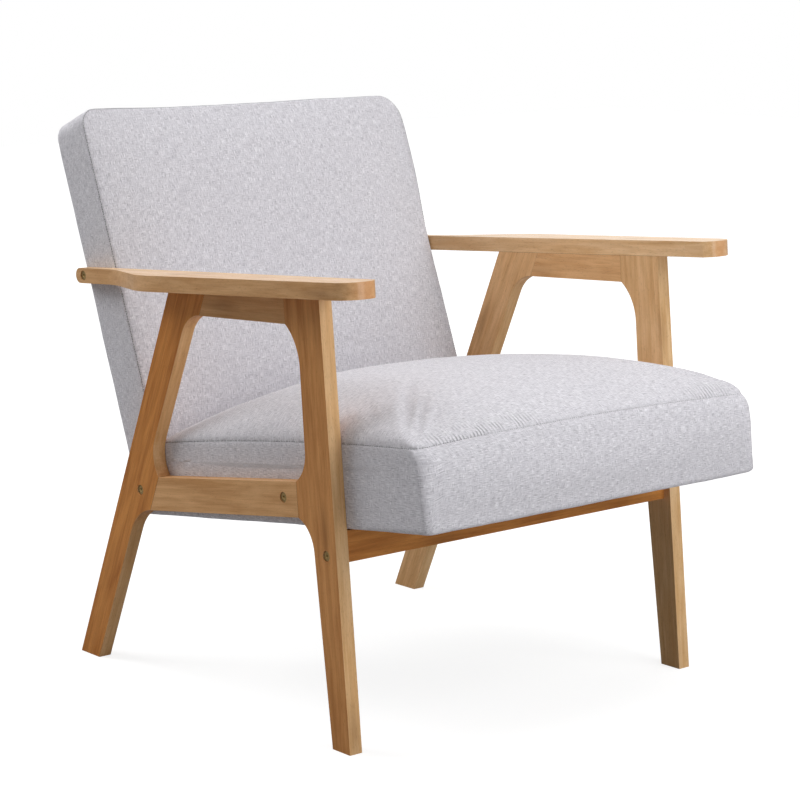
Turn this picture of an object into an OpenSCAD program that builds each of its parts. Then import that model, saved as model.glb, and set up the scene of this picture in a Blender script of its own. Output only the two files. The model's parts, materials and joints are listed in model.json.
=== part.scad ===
// Accent chair with an open wooden frame, a domed seat cushion and a leaning padded back.
// X runs across the chair, Z is up, and the sitter faces -Y. Right and left are the sitter's.
// Depths are measured backwards from the front edge of the front feet, heights from the floor.

/* [Side frames] */
// Width over the outer faces of the two side frames
frame_w = 620; // [560:1:720]
// Thickness of the boards that the legs and rails are cut from
board_t = 20; // [18:0.5:26]
// Depth of the front leg at the floor
front_foot = 36.5; // [30:0.5:44]
// Angle that the front leg's front edge leans back by, in degrees
front_lean = 5; // [4:0.25:6]
// Depth of the front leg where it is widest, just above the seat rail
front_knee = 52.5; // [48:0.5:58]
// Height of the front leg's widest place above the seat rail's top corner
knee_rise = 42; // [34:1:50]
// Depth of the front leg under the armrest
front_top = 49.5; // [44:0.5:56]
// Depth of the front leg's board, over the wings that meet the rails
front_board = 76.5; // [72:0.5:84]
// Level distance from the rear leg's rear edge forward to the rear seat bolt
rear_bolt_in = 48.63; // [40:0.01:56]
// Angle that the rear leg's rear edge leans forward by, in degrees
rear_lean = 24.6; // [23.4:0.2:25.8]
// Depth of the rear leg at the floor
rear_foot = 49.3; // [42:0.5:54]
// Depth of the rear leg under the armrest
rear_top = 56; // [50:0.5:60]
// Depth of the rear leg's board, over the wings that meet the rails
rear_board = 85; // [80:0.5:92]
// Radius of the wing from the front leg up to the top rail
front_top_r = 74; // [50:1:90]
// Radius of the wing from the front leg up to the seat rail
front_under_r = 50; // [40:1:60]
// Radius of the wing from the rear leg up to the top rail
rear_top_r = 50; // [40:1:60]
// Radius of the wing from the rear leg down to the seat rail
rear_rail_r = 50; // [40:1:60]
// Radius of the wing from the rear leg up to the seat rail
rear_under_r = 67; // [50:1:80]

/* [Rails] */
// Height of the seat rail
seat_rail_h = 47.5; // [42:0.5:56]
// Angle that the seat rail rises forward by, in degrees
rail_pitch = 8.1; // [6:0.1:10]
// Height of the front seat bolt above the seat rail's middle
bolt_above_rail = 2.4; // [0:0.1:6]
// Height of the top rail at the front leg
top_rail_h = 38.6; // [34:0.2:46]
// Angle that the top rail's lower edge rises forward by, in degrees
top_rail_pitch = 3; // [2:0.1:3.8]
// Height of the front crossbar's lower edge above the floor
bar_z = 245.8; // [225:0.2:246]
// Height of the front crossbar
bar_h = 42.4; // [38:0.2:42.6]
// Thickness of the front crossbar
bar_t = 20; // [18:0.5:26]
// Depth from the front feet to the crossbar's front face
bar_depth = 34.3; // [31:0.1:38]

/* [Armrests] */
// Height of the armrest's underside above the front feet's front edge
arm_z = 596.5; // [570:0.5:625]
// Angle that the armrest rises forward by, in degrees
arm_pitch = 3.9; // [3:0.1:5]
// Thickness of the armrest
arm_t = 22; // [19:0.5:28]
// Reach of the armrest in front of the feet's front edge
arm_reach = 51; // [20:1:90]
// Width of the armrest's narrow bar beside the back
arm_bar = 18; // [16:0.5:20]
// Width of the armrest at its widest place
arm_paddle = 68.5; // [56:0.5:84]
// Distance back along the armrest to its widest place
arm_wide_at = 372; // [320:1:390]
// Angle that the outer edge draws in by towards the front end, in degrees
arm_taper = 2.2; // [1:0.1:3]
// Angle of the straight stretch in the outer edge's S-curve, in degrees
arm_s_angle = 21; // [18:0.5:25]
// Radius of both bends of the S-curve
arm_s_r = 150; // [110:5:170]
// Radius of the armrest's outer front corner
arm_outer_r = 30; // [20:1:32]
// Radius of the armrest's inner front corner
arm_inner_r = 18; // [10:1:20]
// Length of the armrest behind the bolt that holds the back
arm_past_bolt = 19.5; // [15:0.5:28]

/* [Seat] */
// Height of the seat's front lower edge above the floor
seat_z = 316.2; // [315.6:0.2:330]
// Reach of the seat's front lower edge in front of the feet
seat_reach = 139.2; // [125:0.2:150]
// Angle that the seat rises forward by, in degrees
seat_pitch = 7.65; // [7.2:0.05:8.1]
// Height of the rails inside the seat
box_rail_h = 74; // [68:0.5:78]
// Depth of the seat along its slope
seat_d = 664; // [580:1:740]
// Depth of the ledge behind the cushion, where the back stands
ledge_d = 77; // [76:1:89]
// Height of the seam above the seat's base at the corners
seam_h = 104; // [98:1:116]
// Rise of the seam from the corners to the middle of each side
seam_rise = 6; // [0:0.5:10]
// Height of the crown above the seam
seat_crown = 77; // [30:1:90]
// Swell of the seat's front face
front_swell = 4; // [0:0.5:8]
// Set-back of the front seam from the lower front edge
front_roll = 11; // [6:0.5:18]
// Radius of the seat's upright corners
seat_corner_r = 22; // [14:1:32]
// Depth along the seat's slope to the front pair of seat bolts
seat_bolt_front = 272.2; // [260:0.2:290]
// Distance from the seat's rear edge forward to the rear pair of seat bolts, along its slope
rear_bolt_from = 46.1; // [42:0.1:54]

/* [Back] */
// Angle that the back leans backwards by, in degrees
back_lean = 20.7; // [20:0.1:22]
// Gap along the ledge between the cushion and the back's front face
back_clear = 5.2; // [4:0.1:9]
// Height of the back along its lean, above the ledge
back_h = 516; // [470:1:580]
// Thickness of the back at its sides
back_t = 76; // [74:0.5:82]
// Height of the crown on the back's front face
back_crown = 30; // [10:1:31]
// Radius of the back's top corners
back_corner_r = 33; // [22:1:46]
// Depth of the wooden frame inside the back
back_frame_d = 31.6; // [29:0.2:33]
// Width of the stiles inside the back
stile_w = 40; // [34:1:50]
// Height of the rails inside the back
back_rail_h = 50; // [46:1:60]

/* [Upholstery and small parts] */
// Thickness of the covers, of linen with wadding behind it
cover_t = 2; // [1.6:0.1:2.4]
// Thickness of the rails inside the seat
box_t = 20; // [18:0.5:22]
// Width of the webbing straps
strap_w = 50; // [40:1:60]
// Thickness of the webbing straps
strap_t = 1.8; // [1.2:0.1:2]
// Diameter of the beech dowels
dowel_d = 8; // [6:0.5:9]
// Length of the dowels in the rail joints
dowel_l = 40; // [30:1:42]
// Diameter of the bolt heads
head_d = 13.5; // [12:0.5:15]
// Diameter of the bolts that hold the seat, the back and the crossbar
bolt_d = 6; // [5:0.5:7]

/* [Hidden] */

wood = "burlywood";
pine = "wheat";
linen = "lightgray";
brass = "darkgoldenrod";
steel = "silver";
strap = "gray";
foam = "white";

// Clearance between pieces that are pushed together
fit = 0.1;
// Clearance between soft pieces and what lies beside them
soft_gap = 0.4;
// Over-length of cuts, so that they break through a face
past = 1;

inner_x = frame_w / 2 - board_t;
board_mid_x = frame_w / 2 - board_t / 2;
cover_x = inner_x - soft_gap;

// Points are given as [depth, height], seen from the side
function unit(p) = p / norm(p);
function mid(p, q) = (p + q) / 2;
function left_of(e) = [-e.y, e.x];
function right_of(e) = [e.y, -e.x];
// Where the line through p along e meets the line through q along f
function cross_at(p, e, q, f) = p + e * ((q - p) * right_of(f)) / (e * right_of(f));

// Seat box, measured along the seat's slope (u) and square to it (w)
box_x = cover_x - cover_t - 0.3;
box_w0 = cover_t + 0.3;
box_w1 = box_w0 + box_rail_h;
box_mid_w = box_w0 + box_rail_h / 2;
ledge_w = box_w1 + 0.3 + cover_t;
cushion_d = seat_d - ledge_d;
back_at = cushion_d + back_clear;
seat_bolt_rear = seat_d - rear_bolt_from;
box_u0 = cover_t + 0.6;
box_u1 = seat_d - cover_t - 0.6;
cross_u = cushion_d - cover_t - 0.4 - box_t;
ledge_board_t = 10;
function seat_pt(u, w) = [
    -seat_reach + u * cos(seat_pitch) + w * sin(seat_pitch),
    seat_z - u * sin(seat_pitch) + w * cos(seat_pitch)
];

// The rear leg stands where the seat's rear bolts reach it
seat_bolt_front_pt = seat_pt(seat_bolt_front, box_mid_w);
seat_bolt_rear_pt = seat_pt(seat_bolt_rear, box_mid_w);
foot_reach = seat_bolt_rear_pt.x + rear_bolt_in + seat_bolt_rear_pt.y * tan(rear_lean);

// Points on the armrest's slope, measured from its underside
arm_dir = [cos(arm_pitch), -sin(arm_pitch)];
function arm_pt(a, h) = [0, arm_z] + a * arm_dir + h * left_of(arm_dir);

// Points in the back, by depth behind its front seam (t) and height up its lean (v)
back_up = [sin(back_lean), cos(back_lean)];
back_on_seat = back_lean - seat_pitch;
back_foot_pt = seat_pt(back_at, ledge_w + soft_gap);
function back_pt(t, v) = back_foot_pt + t * right_of(back_up) + v * back_up;

// The origin lies under the middle of the chair's whole depth
rear_roll = 3.5;
front_most = min(seat_pt(0, 4).x, seat_pt(-front_swell * 0.7, 36).x, seat_pt(-front_swell, 66).x);
depth_mid = (front_most + back_pt(back_t, back_h - rear_roll).x) / 2;

// Directions of the legs' outer edges and of the joints
front_dir = [sin(front_lean), cos(front_lean)];
rear_dir = [-sin(rear_lean), cos(rear_lean)];
rail_dir = [cos(rail_pitch), -sin(rail_pitch)];
top_rail_dir = [cos(top_rail_pitch), -sin(top_rail_pitch)];
front_joint_foot = [front_board, 0];
rear_joint_foot = [foot_reach - rear_board, 0];

// Corners of the seat rail and the top rail, at their joints
rail_mid = seat_bolt_front_pt - [0, bolt_above_rail];
rail_half = [0, seat_rail_h / 2 / cos(rail_pitch)];
rail_front_top = cross_at(rail_mid + rail_half, rail_dir, front_joint_foot, front_dir);
rail_front_low = cross_at(rail_mid - rail_half, rail_dir, front_joint_foot, front_dir);
rail_rear_top = cross_at(rail_mid + rail_half, rail_dir, rear_joint_foot, rear_dir);
rail_rear_low = cross_at(rail_mid - rail_half, rail_dir, rear_joint_foot, rear_dir);
top_front_top = cross_at(arm_pt(0, 0), arm_dir, front_joint_foot, front_dir);
top_front_low = cross_at(top_front_top - [0, top_rail_h], top_rail_dir, front_joint_foot, front_dir);
top_rear_top = cross_at(arm_pt(0, 0), arm_dir, rear_joint_foot, rear_dir);
top_rear_low = cross_at(top_front_low, top_rail_dir, rear_joint_foot, rear_dir);

// Corners of the plain part of each leg
front_top_edge = cross_at(arm_pt(0, 0), arm_dir, [0, 0], front_dir);
front_top_pt = cross_at(arm_pt(0, 0), arm_dir, front_top_edge + [front_top, 0], front_dir);
front_knee_z = rail_front_top.y + knee_rise;
front_knee_pt = [front_knee_z * tan(front_lean) + front_knee, front_knee_z];
rear_top_edge = cross_at(arm_pt(0, 0), arm_dir, [foot_reach, 0], rear_dir);
rear_top_pt = cross_at(arm_pt(0, 0), arm_dir, rear_top_edge - [rear_top, 0], rear_dir);
rear_foot_pt = [foot_reach - rear_foot, 0];
front_foot_pt = [front_foot, 0];
front_low_edge = unit(front_knee_pt - front_foot_pt);
front_up_edge = unit(front_top_pt - front_knee_pt);
rear_edge = unit(rear_top_pt - rear_foot_pt);

// Centre of the arc of a wing, which leaves a leg's edge smoothly and ends at a joint's corner.
// The edge is given by a point and a direction, off points away from the leg, and turn is 1
// where the arc runs down to the corner and -1 where it runs up to it.
function wing_centre(edge_pt, edge_dir, off, corner, r, turn) =
    let (away = (corner - edge_pt) * off)
    let (along = (corner - edge_pt) * edge_dir)
    edge_pt + edge_dir * (along + turn * sqrt(2 * r * away - away * away)) + off * r;
front_off = right_of(front_up_edge);
low_off = right_of(front_low_edge);
rear_off = left_of(rear_edge);
front_top_c = wing_centre(front_knee_pt, front_up_edge, front_off, top_front_low, front_top_r, -1);
front_under_c = wing_centre(front_foot_pt, front_low_edge, low_off, rail_front_low, front_under_r, -1);
rear_top_c = wing_centre(rear_foot_pt, rear_edge, rear_off, top_rear_low, rear_top_r, -1);
rear_rail_c = wing_centre(rear_foot_pt, rear_edge, rear_off, rail_rear_top, rear_rail_r, 1);
rear_under_c = wing_centre(rear_foot_pt, rear_edge, rear_off, rail_rear_low, rear_under_r, -1);
// The front leg's wing down to the seat rail leaves it at its widest place
knee_to_rail = rail_front_top - front_knee_pt;
front_rail_r = (knee_to_rail * knee_to_rail) / (2 * knee_to_rail * front_off);
front_rail_c = front_knee_pt + front_off * front_rail_r;

// Bolts and the pieces that they screw into
head_h = 2.5;
head_sunk = 1.5;
head_room = 0.5;
hex_w = 4;
hex_deep = 1.6;
shank_room = 0.5;
tee_wall = 1;
tee_flange_d = 19;
tee_flange_t = 1.4;
tee_barrel = 10;
bar_bolt_pt = [bar_depth + bar_t / 2, bar_z + 10.5];
bar_dowel_pt = bar_bolt_pt + [0, 18];
bar_bolt_l = 50;
barrel_d = 10;
barrel_l = 14;
barrel_from_tip = 8;
barrel_x = inner_x + board_t - head_sunk - head_h - bar_bolt_l + barrel_from_tip;
bar_dowel_l = 28;
arm_dowel_l = 30;
arm_dowel_up = 14;
seat_bolt_l = board_t + soft_gap + cover_t + box_t - head_sunk - head_h + 4;

// Wooden frame of the back, and the bolts that hold it
frame_t1 = back_t - cover_t - soft_gap - 2.3;
frame_t0 = frame_t1 - back_frame_d;
frame_inset = cover_t + 1;
frame_x = cover_x - frame_inset;
stile_inner_x = frame_x - stile_w;
frame_gap = soft_gap + cover_t + 0.3;
liner_t = 2;
back_bolt_t = (frame_t0 + frame_t1) / 2 + 3.8;
back_bolt_pt = cross_at(arm_pt(0, arm_t / 2), arm_dir, back_pt(back_bolt_t, 0), back_up);
back_bolt_l = arm_bar + soft_gap + frame_inset + stile_w - head_sunk - head_h + 3;
arm_outer_x = inner_x + arm_bar;
arm_end_a = (back_bolt_pt - arm_pt(0, 0)) * arm_dir + arm_past_bolt;
foot_bolt_x = 180;
foot_bolt_u = box_u1 - box_t / 2;
foot_bolt_d = 8;
foot_bolt_head_d = 14;
foot_bolt_head_h = 5;
foot_bolt_w0 = box_w0 + 6;
foot_bolt_w1 = ledge_w + frame_gap + 24;
foot_insert_d = 12;
foot_insert_l = 18;

// Puts a shape drawn in [depth, height] on the chair's right side, with its inner face at inner_x
module right_board(t) {
    translate([-inner_x - t, -depth_mid, 0]) rotate([90, 0, 90]) linear_extrude(t) children();
}
module left_side() {
    mirror([1, 0, 0]) children();
}
// A cylinder along X at a [depth, height] point
module x_rod(p, d, x0, x1, steps = 48) {
    translate([x0, p.x - depth_mid, p.y]) rotate([0, 90, 0]) cylinder(d = d, h = x1 - x0, $fn = steps);
}
// A cylinder in the middle of the right side frame's board, centred at p and running along e
module board_rod(p, e, d, l) {
    translate([-board_mid_x, p.x - depth_mid, p.y])
        rotate([atan2(e.y, e.x) - 90, 0, 0])
            cylinder(d = d, h = l, center = true, $fn = 40);
}
module in_seat() {
    translate([0, -seat_reach - depth_mid, seat_z]) rotate([-seat_pitch, 0, 0]) children();
}
module in_back() {
    translate([0, back_foot_pt.x - depth_mid, back_foot_pt.y]) rotate([-back_lean, 0, 0]) children();
}
module in_arm() {
    translate([0, -depth_mid, arm_z]) rotate([-arm_pitch, 0, 0]) children();
}

// Bolt hole through the right side frame, with a sunk seat for the head
module bolt_hole(p, outer) {
    x_rod(p, bolt_d + 2 * shank_room, -outer - past, -inner_x + past);
    x_rod(p, head_d + 2 * head_room, -outer - past, -outer + head_sunk + head_h);
}
// Low-headed bolt with a hexagon socket, its head on the outside
module side_bolt(p, l, outer) {
    head_x = -outer + head_sunk;
    difference() {
        union() {
            x_rod(p, head_d, head_x, head_x + head_h);
            x_rod(p, bolt_d, head_x + head_h / 2, head_x + head_h + l);
        }
        translate([head_x - past, p.x - depth_mid, p.y]) rotate([0, 90, 0])
            cylinder(d = hex_w / cos(30), h = hex_deep + past, $fn = 6);
    }
}
// Nut with a barrel let into the wood and a flange on its inner face
module tee_nut(p, face_x) {
    difference() {
        union() {
            x_rod(p, bolt_d + 2 * (fit + tee_wall), face_x - tee_barrel, face_x + fit + tee_flange_t / 2);
            x_rod(p, tee_flange_d, face_x + fit, face_x + fit + tee_flange_t);
        }
        x_rod(p, bolt_d + 2 * fit, face_x - tee_barrel - past, face_x + tee_flange_t + past);
    }
}
module tee_nut_hole(p, outer_x, face_x) {
    x_rod(p, bolt_d + 2 * shank_room, outer_x - past, face_x + past);
    x_rod(p, bolt_d + 2 * (2 * fit + tee_wall), face_x - tee_barrel - 0.5, face_x + past);
}

// Dowels that join the rails to the legs of the right frame, each a point and a direction
seat_rail_spread = [0, seat_rail_h / 4];
top_rail_spread = [0, top_rail_h / 4.4];
dowel_places = [
    [mid(rail_front_top, rail_front_low) + seat_rail_spread, rail_dir],
    [mid(rail_front_top, rail_front_low) - seat_rail_spread, rail_dir],
    [mid(rail_rear_top, rail_rear_low) + seat_rail_spread, rail_dir],
    [mid(rail_rear_top, rail_rear_low) - seat_rail_spread, rail_dir],
    [mid(top_front_top, top_front_low) + top_rail_spread, top_rail_dir],
    [mid(top_front_top, top_front_low) - top_rail_spread, top_rail_dir],
    [mid(top_rear_top, top_rear_low) + top_rail_spread, top_rail_dir],
    [mid(top_rear_top, top_rear_low) - top_rail_spread, top_rail_dir]
];
module board_dowels(d, l) {
    for (place = dowel_places) board_rod(place[0], place[1], d, l);
}

// Dowels that hold the armrest, by their places along its slope
arm_dowel_a = [
    mid(front_top_edge, front_top_pt).x,
    mid(top_front_top, top_rear_top).x,
    mid(rear_top_pt, rear_top_edge).x + 4
];
module arm_dowels(d, l) {
    for (a = arm_dowel_a)
        in_arm() translate([-board_mid_x, a, arm_dowel_up - arm_dowel_l / 2])
            cylinder(d = d, h = l, center = true, $fn = 40);
}
module bar_dowel(d, l) {
    x_rod(bar_dowel_pt, d, -inner_x - l / 2, -inner_x + l / 2);
}
module frame_holes() {
    board_dowels(dowel_d + 2 * fit, dowel_l + 1);
    arm_dowels(dowel_d + 2 * fit, arm_dowel_l + 1);
}

module front_leg_profile() {
    difference() {
        polygon([
            [0, 0], front_top_edge, top_front_top, top_front_low,
            front_top_c - front_off * front_top_r, front_knee_pt,
            rail_front_top, rail_front_low,
            front_under_c - low_off * front_under_r, front_foot_pt
        ]);
        translate(front_top_c) circle(r = front_top_r, $fn = 180);
        translate(front_rail_c) circle(r = front_rail_r, $fn = 180);
        translate(front_under_c) circle(r = front_under_r, $fn = 180);
    }
}
module right_front_leg() {
    color(wood) difference() {
        right_board(board_t) front_leg_profile();
        frame_holes();
        bolt_hole(bar_bolt_pt, frame_w / 2);
        bar_dowel(dowel_d + 2 * fit, bar_dowel_l + 1);
    }
}
module rear_leg_profile() {
    difference() {
        polygon([
            [foot_reach, 0], rear_top_edge, top_rear_top, top_rear_low,
            rear_top_c - rear_off * rear_top_r, rear_rail_c - rear_off * rear_rail_r,
            rail_rear_top, rail_rear_low,
            rear_under_c - rear_off * rear_under_r, rear_foot_pt
        ]);
        translate(rear_top_c) circle(r = rear_top_r, $fn = 180);
        translate(rear_rail_c) circle(r = rear_rail_r, $fn = 180);
        translate(rear_under_c) circle(r = rear_under_r, $fn = 180);
    }
}
module seat_bolt_holes() {
    bolt_hole(seat_bolt_front_pt, frame_w / 2);
    bolt_hole(seat_bolt_rear_pt, frame_w / 2);
}
module right_rear_leg() {
    color(wood) difference() {
        right_board(board_t) rear_leg_profile();
        frame_holes();
        seat_bolt_holes();
    }
}
module right_top_rail() {
    color(wood) difference() {
        right_board(board_t) polygon([top_front_top, top_rear_top, top_rear_low, top_front_low]);
        frame_holes();
    }
}
module right_seat_rail() {
    color(wood) difference() {
        right_board(board_t) polygon([rail_front_top, rail_rear_top, rail_rear_low, rail_front_low]);
        frame_holes();
        seat_bolt_holes();
    }
}
module left_front_leg() {
    left_side() right_front_leg();
}
module left_rear_leg() {
    left_side() right_rear_leg();
}
module left_top_rail() {
    left_side() right_top_rail();
}
module left_seat_rail() {
    left_side() right_seat_rail();
}

// Plan of the right armrest, drawn as [distance outwards from the inner edge, distance back]
bend_gap = 2 * arm_s_r + arm_bar - arm_paddle;
bend_a = (2 * arm_s_r - bend_gap * cos(arm_s_angle)) / sin(arm_s_angle);
wide_c = [arm_paddle - arm_s_r, arm_wide_at];
narrow_c = [arm_bar + arm_s_r, arm_wide_at + bend_a];
function turned(a) = [cos(a), sin(a)];
s_out = turned(arm_s_angle);
taper_out = turned(-arm_taper);
// Straight edges lie this far inside the arcs they lead into, so that the two cross
tuck = 0.02;
taper_pt = wide_c + arm_s_r * taper_out;
taper_end = taper_pt + right_of(taper_out) * (taper_pt.y + arm_reach) / cos(arm_taper);
outer_c = [taper_end.x - arm_outer_r * (1 - sin(arm_taper)) / cos(arm_taper), arm_outer_r - arm_reach];
module armrest_plan() {
    difference() {
        union() {
            polygon([
                [0, arm_inner_r - arm_reach], [arm_inner_r, -arm_reach], [outer_c.x, -arm_reach],
                outer_c + (arm_outer_r - tuck) * taper_out, wide_c + (arm_s_r - tuck) * taper_out,
                wide_c + (arm_s_r - tuck) * s_out, narrow_c - (arm_s_r - tuck) * s_out,
                narrow_c - [arm_s_r - tuck, 0], [arm_bar, arm_end_a], [0, arm_end_a]
            ]);
            translate([arm_inner_r, arm_inner_r - arm_reach]) circle(r = arm_inner_r, $fn = 120);
            translate(outer_c) circle(r = arm_outer_r, $fn = 120);
            intersection() {
                translate(wide_c) circle(r = arm_s_r, $fn = 360);
                polygon([
                    wide_c + (arm_s_r - 9) * turned(-arm_taper - 2), wide_c + (arm_s_r + 9) * turned(-arm_taper - 2),
                    wide_c + (arm_s_r + 9) * turned(arm_s_angle + 2), wide_c + (arm_s_r - 9) * turned(arm_s_angle + 2)
                ]);
            }
        }
        translate(narrow_c) circle(r = arm_s_r, $fn = 360);
    }
}
module armrest_side() {
    translate([-arm_reach - past, 0]) square([arm_end_a - arm_t / 2 + arm_reach + past, arm_t]);
    translate([arm_end_a - arm_t / 2, arm_t / 2]) circle(d = arm_t, $fn = 72);
}
module right_armrest() {
    color(wood) difference() {
        in_arm() intersection() {
            translate([-inner_x, 0, -past]) linear_extrude(arm_t + 2 * past) mirror([1, 0]) armrest_plan();
            translate([-inner_x - arm_paddle - past, 0, 0]) rotate([90, 0, 90])
                linear_extrude(arm_paddle + 2 * past) armrest_side();
        }
        arm_dowels(dowel_d + 2 * fit, arm_dowel_l + 1);
        bolt_hole(back_bolt_pt, arm_outer_x);
    }
}
module left_armrest() {
    left_side() right_armrest();
}
module front_crossbar() {
    color(wood) difference() {
        translate([-inner_x, bar_depth - depth_mid, bar_z]) cube([2 * inner_x, bar_t, bar_h]);
        for (s = [0, 1]) mirror([s, 0, 0]) {
            x_rod(bar_bolt_pt, bolt_d + 2 * shank_room, -inner_x - past, -barrel_x + 12);
            bar_dowel(dowel_d + 2 * fit, bar_dowel_l + 1);
            translate([-barrel_x, bar_depth + bar_t + past - depth_mid, bar_bolt_pt.y]) rotate([90, 0, 0])
                cylinder(d = barrel_d + 2 * fit, h = bar_t / 2 + barrel_l / 2 + past + 0.2, $fn = 40);
        }
    }
}
module frame_dowels() {
    color(pine) for (s = [0, 1]) mirror([s, 0, 0]) board_dowels(dowel_d, dowel_l);
}
module armrest_dowels() {
    color(pine) for (s = [0, 1]) mirror([s, 0, 0]) arm_dowels(dowel_d, arm_dowel_l);
}
module crossbar_dowels() {
    color(pine) for (s = [0, 1]) mirror([s, 0, 0]) bar_dowel(dowel_d, bar_dowel_l);
}
module crossbar_bolts() {
    color(brass) for (s = [0, 1]) mirror([s, 0, 0]) side_bolt(bar_bolt_pt, bar_bolt_l, frame_w / 2);
}
module crossbar_barrel_nuts() {
    color(steel) for (s = [0, 1]) mirror([s, 0, 0]) difference() {
        translate([-barrel_x, bar_bolt_pt.x + barrel_l / 2 - depth_mid, bar_bolt_pt.y]) rotate([90, 0, 0])
            cylinder(d = barrel_d, h = barrel_l, $fn = 40);
        x_rod(bar_bolt_pt, bolt_d + 2 * fit, -barrel_x - barrel_d, -barrel_x + barrel_d);
    }
}
module seat_bolts() {
    color(brass) for (s = [0, 1]) mirror([s, 0, 0]) {
        side_bolt(seat_bolt_front_pt, seat_bolt_l, frame_w / 2);
        side_bolt(seat_bolt_rear_pt, seat_bolt_l, frame_w / 2);
    }
}
module seat_tee_nuts() {
    color(steel) for (s = [0, 1]) mirror([s, 0, 0]) {
        tee_nut(seat_bolt_front_pt, -box_x + box_t);
        tee_nut(seat_bolt_rear_pt, -box_x + box_t);
    }
}
module armrest_bolts() {
    color(brass) for (s = [0, 1]) mirror([s, 0, 0]) side_bolt(back_bolt_pt, back_bolt_l, arm_outer_x);
}
module back_tee_nuts() {
    color(steel) for (s = [0, 1]) mirror([s, 0, 0]) tee_nut(back_bolt_pt, -stile_inner_x);
}
// A cylinder square to the seat's slope, at each place where the back is bolted down
module foot_rod(d, w0, w1, steps = 40) {
    for (x = [-foot_bolt_x, foot_bolt_x])
        in_seat() translate([x, foot_bolt_u, w0]) cylinder(d = d, h = w1 - w0, $fn = steps);
}
module back_foot_bolts() {
    color(steel) difference() {
        union() {
            foot_rod(foot_bolt_head_d, foot_bolt_w0, foot_bolt_w0 + foot_bolt_head_h);
            foot_rod(foot_bolt_d, foot_bolt_w0 + foot_bolt_head_h / 2, foot_bolt_w1);
        }
        for (x = [-foot_bolt_x, foot_bolt_x])
            in_seat() translate([x, foot_bolt_u, foot_bolt_w0 - past])
                cylinder(d = 5 / cos(30), h = 2 + past, $fn = 6);
    }
}
module back_foot_inserts() {
    color(brass) difference() {
        foot_rod(foot_insert_d, ledge_w + frame_gap + 0.5, ledge_w + frame_gap + 0.5 + foot_insert_l);
        foot_rod(foot_bolt_d + 2 * fit, ledge_w, foot_bolt_w1 + past);
    }
}

// Plan of the seat box, inset from the outside of the cover
seat_rear_r = 8;
module seat_plan(inset) {
    x = cover_x - inset;
    front_r = max(seat_corner_r - inset, 2);
    rear_r = max(seat_rear_r - inset, 2);
    depth = seat_d - 2 * inset;
    translate([front_r - x, inset]) square([2 * (x - front_r), depth]);
    translate([-x, inset + front_r]) square([2 * x, depth - front_r - rear_r]);
    translate([rear_r - x, inset + depth / 2]) square([2 * (x - rear_r), depth / 2]);
    for (s = [-1, 1]) {
        translate([s * (x - front_r), inset + front_r]) circle(r = front_r, $fn = 28);
        translate([s * (x - rear_r), inset + depth - rear_r]) circle(r = rear_r, $fn = 16);
    }
}
module seat_bar(x0, x1, u0, u1, w0, w1) {
    in_seat() translate([0, 0, w0]) linear_extrude(w1 - w0) intersection() {
        seat_plan(box_w0);
        translate([x0, u0]) square([x1 - x0, u1 - u0]);
    }
}
module seat_front_rail() {
    color(pine) seat_bar(-box_x, box_x, box_u0, box_u0 + box_t, box_w0, box_w1);
}
module seat_rear_rail() {
    color(pine) difference() {
        seat_bar(-box_x, box_x, box_u1 - box_t, box_u1, box_w0, box_w1);
        foot_rod(foot_bolt_d + 1, box_w0, box_w1 + past);
        foot_rod(foot_bolt_head_d + 1, box_w0 - past, foot_bolt_w0 + foot_bolt_head_h);
    }
}
module seat_cross_rail() {
    color(pine) seat_bar(-box_x + box_t, box_x - box_t, cross_u, cross_u + box_t, box_w0, box_w1);
}
module seat_right_side_rail() {
    color(pine) difference() {
        seat_bar(-box_x, -box_x + box_t, box_u0 + box_t, box_u1 - box_t, box_w0, box_w1);
        tee_nut_hole(seat_bolt_front_pt, -box_x, -box_x + box_t);
        tee_nut_hole(seat_bolt_rear_pt, -box_x, -box_x + box_t);
    }
}
module seat_left_side_rail() {
    left_side() seat_right_side_rail();
}
block_leg = 45;
block_tip = 8;
block_h = 55;
// Plan of a corner block, with its right angle at the origin
module block_plan() {
    polygon([[0, 0], [block_leg, 0], [block_leg, block_tip], [block_tip, block_leg], [0, block_leg]]);
}
module seat_corner_blocks() {
    color(pine) for (s = [0, 1]) mirror([s, 0, 0]) in_seat() {
        translate([-box_x + box_t, box_u0 + box_t, box_w0 + 8]) linear_extrude(block_h) block_plan();
        translate([-box_x + box_t, cross_u, box_w0 + 8]) mirror([0, 1, 0]) linear_extrude(block_h) block_plan();
    }
}
module seat_ledge_board() {
    color(pine) seat_bar(-box_x + box_t, box_x - box_t, cross_u + box_t, box_u1 - box_t,
        box_w1 - ledge_board_t, box_w1);
}
strap_count = 6;
module seat_webbing_lengthwise() {
    strap_from = 0.9 * strap_w;
    span = 2 * (box_x - box_t - strap_from);
    color(strap) in_seat() for (i = [0 : strap_count - 1])
        translate([-span / 2 + span * i / (strap_count - 1) - strap_w / 2, box_u0 + 3, box_w1 + fit])
            cube([strap_w, cross_u + box_t - box_u0 - 6, strap_t]);
}
module seat_webbing_crosswise() {
    strap_from = 0.9 * strap_w;
    first = box_u0 + box_t + strap_from;
    span = cross_u - strap_from - first;
    color(strap) in_seat() for (i = [0 : strap_count - 1])
        translate([-box_x + 4, first + span * i / (strap_count - 1) - strap_w / 2, box_w1 + strap_t + 2 * fit])
            cube([2 * box_x - 8, strap_w, strap_t]);
}
module seat_dust_cover() {
    color(strap) in_seat() translate([0, 0, -1.2]) linear_extrude(1) seat_plan(11);
}

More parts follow.
